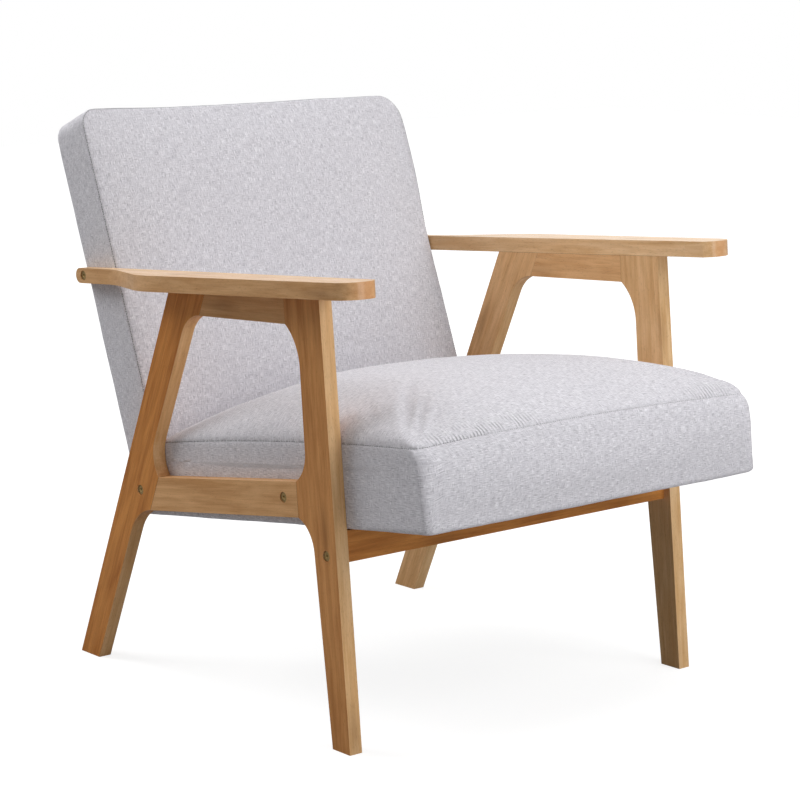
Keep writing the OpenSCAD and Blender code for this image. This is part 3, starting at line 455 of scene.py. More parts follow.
def linen_material(cloth):
    """Heathered linen. Its seams get painted shade in the groove, and fine gathers stand beside them, with painted
    shade in their folds and a painted highlight on their ridges.
    """
    made, tree, shader = new_material("linen_weave")
    where = add(tree, "ShaderNodeUVMap", uv_map="cloth")
    weave = used_group(tree, weave_group(), {"Vector": where, "Pitch": cloth.yarn, "Weft share": 0.66})
    waves = add(tree, "ShaderNodeTexWave", {"Vector": where, "Scale": 56.0, "Distortion": 1.8, "Detail": 1.0,
                                            "Detail Scale": 0.7}, "Fac")
    strength = stored(tree, "gather") * ramp(clouds(where, 42.0), 0.40, 0.58)
    # Painted shade in the gathers' folds and a painted highlight on their ridges; the folds also bump the surface
    folds_and_shade = ramp(waves, 0.50, 0.95) * strength
    ridge_highlight = ramp(waves, 0.45, 0.10) * strength
    # Painted shade along the seam groove
    deep = stored(tree, "seam") * ramp(clouds(where, 190.0, 1.0), 0.42, 0.60, 0.08, 0.5)
    colour = blended(weave("Melange"), cloth.dark, cloth.light)
    colour = blended(deep, colour, toned(cloth.dark, 0.25))
    colour = blended(folds_and_shade * 0.95, colour, toned(cloth.dark, 0.8))
    colour = blended(ridge_highlight * 0.45, colour, toned(cloth.light, 1.04))
    fill(shader, {"Base Color": colour, "Roughness": ramp(weave("Height"), 0.0, 1.8, 0.96, 0.80),
                  "Sheen Weight": 0.22, "Sheen Roughness": 0.5, "Specular IOR Level": 0.25,
                  "Normal": bump(folds_and_shade * -4.0 + weave("Height"), 0.00035, 0.8)})
    return made


def thread_material(name, tint, ply):
    """Twisted thread or a plain cloth of fine fibres."""
    made, tree, shader = new_material(name)
    place = own_place(tree)
    fibres = clouds(place.scaled((ply, ply * 0.5, ply)), 1.0)
    share = fibres * 0.7 + clouds(place, 60.0, 3.0) * 0.3
    fill(shader, {"Base Color": blended(share, toned(tint, 0.7), toned(tint, 1.25)),
                  "Roughness": ramp(fibres, 0.2, 0.8, 0.72, 0.92), "Normal": bump(share, 0.0001, 0.7)})
    return made


def metal_material(name, tint, rough, tarnish):
    """Metal with patches of tarnish."""
    made, tree, shader = new_material(name)
    place = own_place(tree)
    specks = clouds(place, 2600.0)
    share = ramp(specks * 0.35 + clouds(place, 420.0, 4.0, 0.6) * 0.65, 0.35, 0.68)
    fill(shader, {"Base Color": blended(share * tarnish, tint, toned(tint, 0.35)), "Metallic": 1.0,
                  "Roughness": ramp(share, 0.0, 1.0, rough, rough + 0.2), "Normal": bump(specks, 0.00003, 0.5)})
    return made


# Meshes

def new_piece(mesh, *materials):
    """A new object whose place is in its mesh."""
    for material in materials:
        mesh.materials.append(material)
    made = bpy.data.objects.new(mesh.name, mesh)
    bpy.context.scene.collection.objects.link(made)
    return made


def mesh_piece(name, points, faces, *materials, edges=()):
    mesh = bpy.data.meshes.new(name)
    mesh.from_pydata([tuple(p) for p in points], edges, [tuple(f) for f in faces])
    mesh.update()
    return new_piece(mesh, *materials)


def fixed(made, slot, *replaced):
    """Rides a piece on the chair's only body, in place of the solids it stands for."""
    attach(made, "root")
    if replaced:
        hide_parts(*replaced)
    return made


def read(mesh, field="co"):
    """A vector of every vertex, as an array."""
    out = np.empty(len(mesh.vertices) * 3)
    mesh.vertices.foreach_get(field, out)
    return out.reshape(-1, 3)


def put_values(mesh, name, values, domain="POINT", kind="FLOAT"):
    """Stores a named attribute."""
    field = {"FLOAT": "value", "FLOAT_VECTOR": "vector"}[kind]
    mesh.attributes.new(name, kind, domain).data.foreach_set(field, np.asarray(values, np.float32).ravel())


def put_cloth(mesh, places):
    """Stores the cloth's own coordinates, one for each corner of a face."""
    mesh.uv_layers.new(name="cloth").data.foreach_set("uv", np.asarray(places, np.float32).ravel())


def applied(made):
    """Replaces an object's mesh by its evaluated one, with its modifiers left out."""
    graph = bpy.context.evaluated_depsgraph_get()
    mesh = bpy.data.meshes.new_from_object(made.evaluated_get(graph), preserve_all_data_layers=True, depsgraph=graph)
    made.modifiers.clear()
    made.data = mesh
    mesh.name = made.name
    return made


def node_mesh(node):
    """A merged copy of a solid's triangles, with its flat faces whole again."""
    work = bmesh.new()
    work.from_mesh(frame["nodes"][node].data)
    bmesh.ops.remove_doubles(work, verts=work.verts, dist=0.00001)
    bmesh.ops.dissolve_limit(work, angle_limit=math.radians(0.8), verts=work.verts, edges=work.edges)
    bmesh.ops.recalc_face_normals(work, faces=work.faces)
    return work


def bevelled(name, work, materials, keep_sharp=False, **bevel):
    """An object from a solid's mesh, with its edges rounded and its shading evened out."""
    mesh = bpy.data.meshes.new(name)
    work.to_mesh(mesh)
    work.free()
    made = new_piece(mesh, *materials)
    having(made.modifiers.new("edges", "BEVEL"), **bevel)
    made.modifiers.new("shading", "WEIGHTED_NORMAL").keep_sharp = keep_sharp
    mesh.shade_smooth()
    return applied(made)


def rising(degrees):
    """A direction in a side frame's plane, from level and rearward."""
    turn = math.radians(degrees)
    return Vector((0, math.cos(turn), math.sin(turn)))


# The direction of each board's grain
BOARDS = {"front_leg": rising(85), "rear_leg": rising(114.6), "top_rail": rising(-3), "seat_rail": rising(-8.1),
          "armrest": rising(-3.9), "front_crossbar": Vector((1, 0, 0))}
# How deep each board's colour is, from its pale pair at 0 to its deep pair at 1. This is partly each board's own tone
# and partly painted shade: the right frame and the crossbar, which stand in shade, are deep, and the left frame is pale
TONE_AND_SHADE_DEPTHS = {"right_front_leg": 0.80, "right_rear_leg": 1.0, "right_top_rail": 0.42, "right_seat_rail": 0.46,
          "right_armrest": 0.38, "left_front_leg": 0.22, "left_rear_leg": 0.34, "left_top_rail": 0.40,
          "left_seat_rail": 0.5, "left_armrest": 0.12, "front_crossbar": 1.0}


def wooden_nodes():
    """Each visible board, with the direction of its grain."""
    for part, grain in BOARDS.items():
        for side in ("",) if part == "front_crossbar" else ("right_", "left_"):
            yield side + part, grain


def rounded_board(node, grain, number, others, wood, material):
    """A board with rounded edges, small breaks at its joints, and grain along its length."""
    work = node_mesh(node)
    weight = work.edges.layers.float.new("bevel_weight_edge")
    small = wood.joint_radius / wood.edge_radius
    for edge in work.edges:
        if len(edge.link_faces) != 2 or edge.calc_face_angle(0) < math.radians(30):
            continue
        a, b = (v.co for v in edge.verts)
        touch = all(any(tree.find_nearest(p, 0.0002)[0] for tree in others) for p in (a, b, (a + b) / 2))
        edge[weight] = small if touch or (b - a).length < 0.0026 else 1.0
    made = bevelled(node + "_wood", work, (material, material), True, limit_method="WEIGHT", width=wood.edge_radius,
                    segments=3, material=1, use_clamp_overlap=True)
    mesh = made.data
    side = Vector((1, 0, 0)) if abs(grain.x) < 0.5 else Vector((0, 0, 1))
    turn = np.array([grain, grain.cross(side), side])
    shift = np.array([0.73, 0.31, 0.057]) * number
    put_values(mesh, "grain", read(mesh) @ turn.T + shift, kind="FLOAT_VECTOR")
    joint = [any(tree.find_nearest(face.center, 0.0010)[0] for tree in others) for face in mesh.polygons]
    # Painted highlight: leg faces turned to the front and armrest tops are made paler, by how far they face the lamps
    painted_highlight = [max(0.0, -face.normal.y) ** 2 * ("leg" in node) + max(0.0, face.normal.z) ** 2 * ("armrest" in node)
           for face in mesh.polygons]
    for name, values in (("edge", [face.material_index * (1 - 2 * j) for face, j in zip(mesh.polygons, joint)]),
                         ("gloss", [0.55 if "armrest" in node else 0.10] * len(mesh.polygons)),
                         ("depth", [TONE_AND_SHADE_DEPTHS[node] * (1 - 0.85 * s) for s in painted_highlight]),
                         ("end_cut", [abs(face.normal.dot(grain)) ** 8 for face in mesh.polygons])):
        put_values(mesh, name, values, "FACE")
    mesh.polygons.foreach_set("material_index", np.zeros(len(mesh.polygons), np.int32))
    mesh.materials.pop()
    fixed(made, "rubberwood", node)


# Where each lamp stands, and the width of its square
LAMPS = {"key": ((0.1, -2.4, 0.7), 1.2), "front": ((0.9, -2.4, 2.0), 1.6), "top": ((0.1, -0.3, 2.9), 1.8),
         "rim": ((-1.6, 2.0, 2.4), 1.6), "side": ((2.8, 0.1, 1.5), 1.6)}
AIM = Vector((0, -0.05, 0.40))
# Where the camera stands, and its yaw, pitch and roll in degrees
CAMERA_PLACE = (-2.1861, -2.722414, 1.0233)
CAMERA_TURNS = (38.884, -10.275, -0.585)


class CHAIR_OT_stage(bpy.types.Operator):
    """Sets out the floor, the lamps and the camera"""
    bl_idname = "chair.stage"
    bl_label = "Floor, lamps and camera"

    def execute(self, context):
        stage = context.scene.chair_stage
        scene = context.scene
        floor = mesh_piece("floor", [(-9, -9, 0), (9, -9, 0), (9, 9, 0), (-9, 9, 0)], [(0, 1, 2, 3)],
                           floor_material())
        scene.world = bpy.data.worlds.new("room")
        scene.world.use_nodes = True
        tree = scene.world.node_tree
        seen, glossy, through = (add(tree, "ShaderNodeLightPath", pick=ray)
                                 for ray in ("Is Camera Ray", "Is Glossy Ray", "Is Transmission Ray"))
        seen = seen.math("MAXIMUM", glossy.math("MAXIMUM", through))
        fill(tree.nodes["Background"], {"Color": (1, 1, 1), "Strength": ramp(seen, 0.0, 1.0, stage.air, 1.0)})
        for name, (place, size) in LAMPS.items():
            lamp = having(bpy.data.lights.new(name + "_lamp", "AREA"), energy=getattr(stage, name), size=size)
            turn = (AIM - Vector(place)).to_track_quat("-Z", "Y").to_euler()
            made = having(bpy.data.objects.new(lamp.name, lamp), location=place, rotation_euler=turn)
            scene.collection.objects.link(made)
        scene.view_settings.view_transform = "Standard"
        camera = having(bpy.data.cameras.new("camera"), lens=stage.lens * 1000, sensor_width=36)
        made = bpy.data.objects.new("camera", camera)
        yaw, pitch, roll = (math.radians(a) for a in CAMERA_TURNS)
        made.matrix_world = (Matrix.Translation(CAMERA_PLACE) @ Matrix.Rotation(-yaw, 4, "Z")
                             @ Matrix.Rotation(math.pi / 2 + pitch, 4, "X") @ Matrix.Rotation(roll, 4, "Z"))
        scene.collection.objects.link(made)
        scene.camera = made
        return {"FINISHED"}


def floor_material():
    """White paper floor that keeps the chair's shadow."""
    made, tree, shader = new_material("floor_paper")
    place = own_place(tree)
    away = add(tree, "ShaderNodeVectorMath", {0: place}, "Value", operation="LENGTH")
    glow = ramp(away, 1.0, 3.0, 0.80, 1.0) * add(tree, "ShaderNodeLightPath", pick="Is Camera Ray")
    fill(shader, {"Base Color": (0.36, 0.36, 0.36), "Roughness": ramp(clouds(place, 40.0), 0, 1, 0.85, 0.95),
                  "Emission Color": (1, 1, 1), "Emission Strength": glow})
    return made


class CHAIR_OT_wood(bpy.types.Operator):
    """Rounds the boards of the side frames, the armrests and the crossbar, and gives them their grain"""
    bl_idname = "chair.wood"
    bl_label = "Side frames and armrests"

    def execute(self, context):
        wood = context.scene.chair_wood
        material = board_material("oiled_rubberwood", wood.pale, wood.honey, wood.dark, deep=(wood.amber, wood.russet))
        nodes = list(wooden_nodes())
        trees = {}
        for node, _ in nodes:
            work = node_mesh(node)
            trees[node] = BVHTree.FromBMesh(work)
            work.free()
        for number, (node, grain) in enumerate(nodes):
            others = [tree for name, tree in trees.items() if name != node]
            rounded_board(node, grain, number, others, wood, material)
        return {"FINISHED"}


class CHAIR_OT_bolts(bpy.types.Operator):
    """Finishes the brass bolts whose heads show in the side frames and armrests"""
    bl_idname = "chair.bolts"
    bl_label = "Bolt heads"

    def execute(self, context):
        metal = context.scene.chair_metal
        material = metal_material("aged_brass", metal.brass, 0.30, 0.7)
        for node in ("seat_bolts", "crossbar_bolts", "armrest_bolts"):
            made = bevelled(node + "_brass", node_mesh(node), (material,), limit_method="ANGLE", width=metal.head_edge,
                            segments=2, angle_limit=math.radians(35))
            fixed(made, "antique_brass", node)
        return {"FINISHED"}


# Cushions

def simulated(points, faces, pinned, cloth):
    """Inflates a remeshed copy of a closed form and returns its points and how far each moved."""
    scene = bpy.context.scene
    made = mesh_piece("cover_trial", points, faces, bpy.data.materials["linen_weave"])
    having(made.modifiers.new("voxels", "REMESH"), mode="VOXEL", voxel_size=cloth.voxel)
    applied(made)
    mesh = made.data
    start = read(mesh)
    made.vertex_groups.new(name="held").add([int(i) for i in np.nonzero(pinned(start))[0]], 1.0, "REPLACE")
    fabric = made.modifiers.new("cloth", "CLOTH")
    having(fabric.settings, quality=5, mass=0.3, tension_stiffness=12, compression_stiffness=12, shear_stiffness=6,
           bending_stiffness=0.6, use_pressure=True, uniform_pressure_force=PRESSURE, vertex_group_mass="held")
    fabric.settings.effector_weights.gravity = 0
    fabric.collision_settings.use_collision = False
    for number in range(1, FRAMES + 1):
        scene.frame_set(number)
    moved = read(made.evaluated_get(bpy.context.evaluated_depsgraph_get()).data) - start
    bpy.data.objects.remove(made)
    bpy.data.meshes.remove(mesh)
    scene.frame_set(1)
    return start, capped(moved, cloth.swell)


def capped(moved, most):
    """Movements cut to a length."""
    return moved * np.minimum(1, most / np.maximum(np.linalg.norm(moved, axis=1, keepdims=True), 1e-9))


def finder(points):
    """A search tree over points."""
    tree = kdtree.KDTree(len(points))
    for n, p in enumerate(points):
        tree.insert(p, n)
    tree.balance()
    return tree


def carried(points, start, moved, near=8):
    """The movement of a simulated form, carried over to other points beside it."""
    tree = finder(start)
    out = np.zeros_like(points)
    for n, p in enumerate(points):
        found = tree.find_n(p, near)
        weight = np.array([1 / (d + 0.002) ** 2 for _, _, d in found])
        out[n] = (moved[[i for _, i, _ in found]] * weight[:, None]).sum(0) / weight.sum()
    return out


def ring_faces(rings, count):
    """Quads between stacked rings of the same length, with both ends closed."""
    faces = []
    for r in range(rings - 1):
        a, b = r * count, (r + 1) * count
        faces += [(a + i, a + (i + 1) % count, b + (i + 1) % count, b + i) for i in range(count)]
    faces.append(tuple(range(count - 1, -1, -1)))
    faces.append(tuple(range((rings - 1) * count, rings * count)))
    return faces


def run_along(points):
    """Distance run along rows of points, from the first row."""
    step = np.linalg.norm(np.diff(points, axis=0), axis=-1)
    return np.concatenate([np.zeros((1,) + step.shape[1:]), np.cumsum(step, axis=0)])


def over_dome(height, a, b, steps=60):
    """Distance over a dome from a = 0 to each point, along the first coordinate."""
    d = 0.0005
    total = np.zeros_like(a)
    for share in (np.arange(steps) + 0.5) / steps:
        slope = (height(a * share + d, b) - height(a * share - d, b)) / (2 * d)
        total += np.sqrt(1 + np.minimum(slope ** 2, 16))
    return a * total / steps


def seam_steps(reach):
    """Distances from a seam inwards, close together beside it and wider in the middle."""
    out, step = [0.0, 0.0008, 0.0018, 0.0030, 0.0046], 0.0022
    while out[-1] + step < reach * 0.975:
        out.append(out[-1] + step)
        step = min(step * 1.16, 0.0095)
    return np.array(out)


def unevenness(points, size, seed):
    """Gentle hand-made unevenness, the same on every run."""
    shift = Vector((seed, 0.37 * seed, 1.7 * seed))
    return np.array([noise.noise(Vector(p) / size + shift) for p in points])


class Cushion:
    """Rings of a cushion in its own directions, each with its panel: 0 under or behind, 1 round the sides, 2 on top."""

    def __init__(self):
        self.rings = []
        self.panels = []
        self.seams = []

    def add(self, plan, level, panel):
        self.rings.append(np.column_stack([plan, np.broadcast_to(level, len(plan))]))
        self.panels.append(panel)

    def sew(self):
        """Marks the last ring as a seam."""
        self.seams.append(len(self.rings) - 1)

    def dome(self, seam, middle, reach, shape):
        """Rings from a seam to the crown. The shape gives each its plan and its height."""
        for gap in seam_steps(reach):
            k = 1 - gap / reach
            self.add(*shape(seam[:, 0] * k, middle + (seam[:, 1] - middle) * k, k), 2)
            if gap == 0:
                self.sew()


SEWN = {}


def sunk(points):
    """Share by which the seam along the front of the seat hides its thread, away from its right corner."""
    return (points[..., 1] < -0.38) * eased(points[..., 0], -0.28, -0.17)


def closed(rows):
    """Rows with their first column again at the end."""
    return np.concatenate([rows, rows[:, :1]], 1)


def finish_cushion(name, form, points, height, middle, gather, upright):
    """Sews the seams into a padded form, and lays out its cloth for the linen."""
    rings = np.array(form.rings)
    total, count = rings.shape[:2]
    made = mesh_piece(name, points, ring_faces(total, count), bpy.data.materials["linen_weave"])
    mesh = made.data
    normals = read(mesh, "normal")
    run = run_along(points.reshape(rings.shape))
    gap = np.min([np.abs(run - run[seam]) for seam in form.seams], axis=0)
    hidden = sunk(points.reshape(rings.shape))
    groove = 0.0007 * np.exp(-(gap / 0.0012) ** 2) - 0.0002 * np.exp(-((gap - 0.0045) / 0.0026) ** 2)
    groove = groove * (1 - 0.5 * hidden)
    panel = np.array(form.panels)[:, None]
    uneven = ROUGH * unevenness(points, 0.085, 3.1) + 0.3 * ROUGH * unevenness(points, 0.022, 8.4)
    uneven = uneven * np.where(panel == 0, 0.3, 1.0).repeat(count, 1).ravel()
    points = points - normals * (groove.reshape(-1, 1) - uneven[:, None])
    mesh.vertices.foreach_set("co", points.ravel())
    mesh.shade_smooth()
    grid = points.reshape(rings.shape)
    seam = form.seams[-1]
    round_run = run_along(closed(grid[seam][None])[0])
    a, b = rings[..., 0], rings[..., 1]
    top = np.stack([over_dome(lambda p, q: height(p, q, 0.0), a, b),
                    over_dome(lambda q, p: height(p, q + middle, 0.0), b - middle, a)], -1)
    under = np.stack([a, b + 2.0], -1)
    if upright:
        top, under = top[..., ::-1], under[..., ::-1]
    sides = np.stack([np.broadcast_to(round_run, (total, count + 1)), closed(run - run[seam] + 1.0)], -1)
    spread = {0: closed(under), 1: sides, 2: closed(top)}
    loops = []
    for r in range(total - 1):
        uv = spread[form.panels[r + 1]]
        loops.append(np.stack([uv[r, :-1], uv[r, 1:], uv[r + 1, 1:], uv[r + 1, :-1]], 1).reshape(-1, 2))
    put_cloth(mesh, np.concatenate([*loops, under[0, ::-1], top[-1]]))
    # Mask for the painted shade along the seam groove
    put_values(mesh, "seam", np.exp(-(gap / 0.00085) ** 2) * (1 - 0.6 * hidden))
    put_values(mesh, "gather", np.where(panel == 2, gather(a, b, gap), 0))
    mesh.update()
    SEWN[name] = [(grid[s], normals.reshape(rings.shape)[s]) for s in form.seams]
    return made


def seat_form():
    """Rings of the seat cushion, from the middle of its underside to the crown."""
    # By height: how far the front bulges, how far the sides and the rear draw in, the front corners' radius, and how
    # many times wider these corners are across
    reach = [(0.0, -0.0040), (0.0012, -0.0014), (0.004, 0.0), (0.036, 0.0028), (0.066, 0.0040), (0.088, 0.0012),
             (0.098, -0.0042), (0.104, -0.0110)]
    back = [(0.0, 0.0042), (0.0012, 0.0016), (0.004, 0.0002), (0.088, 0.0), (0.098, 0.0002), (0.104, 0.0012)]
    corner = [(0.0, 0.006), (0.02, 0.009), (0.06, 0.014), (0.09, 0.015), (0.104, 0.016)]
    drawn = [(0.0, 1.0), (0.012, 1.3), (0.035, 2.2), (0.085, 2.2), (0.100, 1.4), (0.104, 1.0)]
    form = Cushion()
    base = outline(COVER_X - 0.0042, 0.0040, SEAT_DEPTH - 0.0042, 0.005, 0.004)
    for share in (0.12, 0.4, 0.65, 0.82, 0.90, 0.94, 0.965, 0.98, 0.99):
        plan = base * share + [0, SEAT_DEPTH / 2 * (1 - share)]
        form.add(plan, -seat_droop(plan[:, 1]), 0)

    def ring(w, level, rear, front_level=None):
        side = COVER_X - soft_curve(back, level, 0.0008)
        tight = float(np.interp(level, *np.array(corner).T))
        long = tight * float(np.interp(level, *np.array(drawn).T))
        plan = outline(side, -soft_curve(reach, level, 0.002), rear, tight * 0.6, 0.008, r3=tight)
        lip = plan[:, 1] < tight + 1e-6 - soft_curve(reach, level, 0.002)
        from_edge = np.interp(side - np.abs(plan[lip, 0]), (0, tight, side), (0, long, side))
        plan[lip, 0] = np.sign(plan[lip, 0]) * (side - from_edge)
        if front_level:
            w = front_level + (w - front_level) * eased(plan[:, 1], 0.40, 0.54)
        w = w - seat_droop(plan[:, 1]) * (1 - eased(w, 0.0, 0.04))
        plan[:, 0] *= 1 + (seat_puff(*plan.T, level) - 1) * min(level / 0.005, 1)
        form.add(plan, w, 1)

    for w in (0.0, 0.0006, 0.0014, 0.0024, 0.0038, 0.0056, 0.0085, 0.013, 0.019, 0.026, 0.034, 0.042, 0.050, 0.058,
              0.065, 0.070):
        ring(w, w, SEAT_DEPTH - soft_curve(back, w, 0.0008))
    for share, front_level in ((0, 0.0735), (0.33, 0.0755), (0.66, 0.0775), (1, 0.0795)):
        ring(LEDGE_HEIGHT - 0.0003 * (1 - share), front_level, SEAT_DEPTH + (CUSHION_DEPTH - SEAT_DEPTH) * share,
             front_level)
    seam = outline(SEAM_X, SEAM_FRONT, CUSHION_DEPTH, 0.0096, 0.008, r3=0.016)
    top = seat_seam(seam[:, 0], seam[:, 1])
    for level in (0.0825, 0.0860, 0.0895, 0.0925, 0.0950, 0.0972, 0.0990, 0.1004, 0.1015, 0.1024, 0.1032):
        w = LEDGE_HEIGHT + (top - LEDGE_HEIGHT) * (level - LEDGE_HEIGHT) / (SEAM_HEIGHT - LEDGE_HEIGHT)
        ring(w, level, CUSHION_DEPTH)
    form.dome(seam, SEAT_MIDDLE, SEAM_X,
              lambda x, u, k: (np.column_stack([x * seat_puff(x, u, 0.1), u]), seat_top(x, u, k)))
    return form


def swollen(form, points, to_front, fill_depth, pinned, cloth):
    """Takes the padding's swell off a form, and lets the cloth simulation push it out again."""
    rings = np.array(form.rings)
    on_top = np.array(form.panels)[:, None] == 2
    inward = np.linalg.norm(rings[..., :2] - rings[form.seams[-1]][None, :, :2], axis=-1)
    room = cloth.swell * (1 - np.exp(-inward / fill_depth))
    low = points - to_front * np.where(on_top, room, 0).reshape(-1, 1)
    moved = carried(low, *simulated(low, ring_faces(*rings.shape[:2]), pinned, cloth))
    return low + capped(moved, np.where(on_top, 0.0012 + 1.08 * room, cloth.swell).reshape(-1, 1))


def cushion(name, form, place, side, fill_depth, hold, height, middle, gather, upright=False):
    """A sewn cushion, from its rings to the shared frame. It swells to the side that its cover faces."""
    cloth = bpy.context.scene.chair_cloth
    flat = np.array(form.rings).reshape(-1, 3)
    points = place(*flat.T)
    foot, turn = place(0.0, 0.0, 0.0), axes(place)
    sewn = finder(points.reshape(-1, len(form.rings[0]), 3)[form.seams[-1]])

    def pinned(start):
        own = (start - foot) @ turn.T
        return hold(*own.T) | (np.array([sewn.find(p)[2] for p in start]) < SEAM_PIN)

    points = swollen(form, points, side * turn[2], fill_depth, pinned, cloth)
    wide = np.maximum(np.abs(flat[:, 0]), COVER_X) + 0.0001
    points[:, 0] = np.clip(points[:, 0], -wide, wide)
    return finish_cushion(name, form, points, height, middle, gather, upright)


class CHAIR_OT_seat(bpy.types.Operator):
    """Pads the seat cushion and gives it its domed top, boxed sides and seam"""
    bl_idname = "chair.seat"
    bl_label = "Seat cushion"

    def execute(self, context):
        def hold(x, u, w):
            return (w < 0.016) | ((u > CUSHION_DEPTH - 0.012) & (w < 0.11)) | ((np.abs(x) > 0.284) & (w < 0.12))

        def gather(x, u, gap):
            front = np.clip(1.4 - (u - SEAM_FRONT) / 0.10, 0, 1)
            where = np.exp(-((x + 0.172) / 0.088) ** 4) + 0.6 * np.exp(-((x - 0.235) / 0.05) ** 2)
            return np.minimum(1.3 * front * where, 1) * (1 - eased(gap, 0.010, 0.036))

        made = cushion("seat_cushion", seat_form(), from_seat, 1, 0.045, hold, seat_top, SEAT_MIDDLE, gather)
        fixed(made, "linen", "seat_cover", "seat_foam")
        return {"FINISHED"}


def back_form():
    """Rings of the back cushion, from the middle of its rear panel to the crown of its front."""
    high, thick, bend = BACK_HEIGHT, BACK_THICK + 0.0015, 0.0055

    def plan(inset, t):
        edge = outline(COVER_X - inset, BACK_SLOPE * t + inset, high - inset, 0.007, 0.033, r2=0.024)
        x, v = edge.T
        puff = np.where(x > 0, 0.0062 * eased(v, 0.28, 0.40), 0.0004 * eased(v, 0.26, 0.38))
        puff = puff * (1 - eased(v, 0.455, 0.515)) * (x / COVER_X) ** 9
        peak = 0.0045 * np.exp(-((x + COVER_X) / 0.115) ** 2) * np.clip(v / high, 0, 1) ** 6
        return np.column_stack([x + puff, v + peak])

    form = Cushion()
    for share in (0.06, 0.3, 0.55, 0.75, 0.87, 0.93, 0.96, 0.98):
        rear = plan(0.022, thick)
        form.add(rear * share + [0, high / 2 * (1 - share)], thick, 0)
    for inset in (0.022, 0.018, 0.0145, 0.0115, 0.009, 0.0072, 0.0061):
        form.add(plan(inset, thick), thick - 0.0002 * (0.022 - inset) / 0.01, 0)
    form.sew()
    for turn in (8, 16, 25, 34, 43, 52, 61, 70, 80, 90):
        a = math.radians(turn)
        form.add(plan(bend * (1 - math.sin(a)), thick - bend * (1 - math.cos(a))),
                 thick - 0.0004 - (bend - 0.0004) * (1 - math.cos(a)), 1)
    for t in (0.067, 0.060, 0.052, 0.043, 0.034, 0.027, 0.021, 0.016, 0.012, 0.0085, 0.0060, 0.0042, 0.0029, 0.0019,
              0.0011, 0.0005):
        form.add(plan(0.0008 * math.exp(-t / 0.002), t), t, 1)
    form.dome(plan(0.0008, 0.0), high / 2, high / 2,
              lambda x, v, k: (np.column_stack([x, v]), -back_front(x, v, k)))
    return form


class CHAIR_OT_back(bpy.types.Operator):
    """Pads the back cushion with its boxed sides, its front seam and its rear panel"""
    bl_idname = "chair.back"
    bl_label = "Back cushion"

    def execute(self, context):
        def hold(x, v, t):
            return t > 0.004

        def gather(x, v, gap):
            return 0.16 * np.exp(-np.maximum(gap - 0.004, 0) / 0.010)

        made = cushion("back_cushion", back_form(), from_back, -1, 0.05, hold, back_front, BACK_HEIGHT / 2, gather,
                       upright=True)
        fixed(made, "linen", "back_cover", "back_foam")
        return {"FINISHED"}


# Things that repeat, made by Geometry Nodes

def repeat_tree(name, values, pitch, material, shape):
    """A Geometry Nodes tree that lays a shape at even steps along closed lines."""
    geometry = {"Geometry": ("Geometry", None)}
    sorts = {float: "Float", np.ndarray: "Vector", bpy.types.Material: "Material"}
    inputs = {label: (sorts[type(value)], value) for label, value in values.items()}
    tree, start = new_tree(name, "GeometryNodeTree", {**geometry, **inputs}, geometry)
    tree.is_modifier = True
    line = add(tree, "GeometryNodeMeshToCurve", {"Mesh": start("Geometry")})
    spots = add(tree, "GeometryNodeResampleCurve", {"Curve": line, "Length": start(pitch)}, mode="LENGTH")
    along = add(tree, "GeometryNodeInputTangent")
    placed = add(tree, "GeometryNodeInstanceOnPoints", {"Points": spots, **shape(tree, start, along)})
    real = add(tree, "GeometryNodeRealizeInstances", {"Geometry": placed})
    smooth = add(tree, "GeometryNodeSetShadeSmooth", {"Geometry": real})
    done = add(tree, "GeometryNodeSetMaterial", {"Geometry": smooth, "Material": start(material)})
    add(tree, "NodeGroupOutput", {"Geometry": done}, None)
    return tree


def stitch(tree, start, along):
    """One stitch, turned along the seam."""
    thread = add(tree, "GeometryNodeMeshUVSphere", {"Segments": 8, "Rings": 5, "Radius": 0.5})
    turned = add(tree, "FunctionNodeAlignRotationToVector", {"Vector": along}, axis="Z")
    vary = add(tree, "FunctionNodeRandomValue", {2: 0.82, 3: 1.12, "Seed": 7}, 1, data_type="FLOAT")
    thick = start("Thread thickness")
    size = add(tree, "ShaderNodeCombineXYZ", {0: thick, 1: thick, 2: start("Stitch length") * vary})
    return {"Instance": thread, "Rotation": turned, "Scale": size}


def staple(tree, start, along):
    """One flat wire staple, with its crown along the cloth's edge."""
    half, rise = start("Crown width") * 0.5, start("Wire") * 1.4
    corners = {label: add(tree, "ShaderNodeCombineXYZ", {0: x, 1: 0.0, 2: z})
               for label, x, z in (("Start", half * -1.0, 0.0), ("Start Handle", half * -1.0, rise),
                                   ("End Handle", half, rise), ("End", half, 0.0))}
    bridge = add(tree, "GeometryNodeCurvePrimitiveBezierSegment", {"Resolution": 6, **corners})
    wire = add(tree, "GeometryNodeCurvePrimitiveCircle", {"Resolution": 6, "Radius": start("Wire") * 0.5})
    bent = add(tree, "GeometryNodeCurveToMesh", {"Curve": bridge, "Profile Curve": wire, "Fill Caps": True})
    flat = add(tree, "FunctionNodeAlignRotationToVector", {"Vector": along}, axis="X")
    faced = add(tree, "FunctionNodeAlignRotationToVector", {"Rotation": flat, "Vector": start("Downward")},
                axis="Z", pivot_axis="X")
    return {"Instance": bent, "Rotation": faced}


def along_lines(name, loops, tree, values, slot):
    """A piece made by a tree along closed lines, turned into a plain mesh."""
    points, edges = [], []
    for loop in loops:
        base = len(points)
        points += list(loop)
        edges += [(base + i, base + (i + 1) % len(loop)) for i in range(len(loop))]
    made = mesh_piece(name, points, [], edges=edges)
    modifier = having(made.modifiers.new(tree.name, "NODES"), node_group=tree)
    for item in tree.interface.items_tree:
        if item.in_out == "INPUT" and item.name in values:
            modifier[item.identifier] = values[item.name]
    fixed(applied(made), slot)


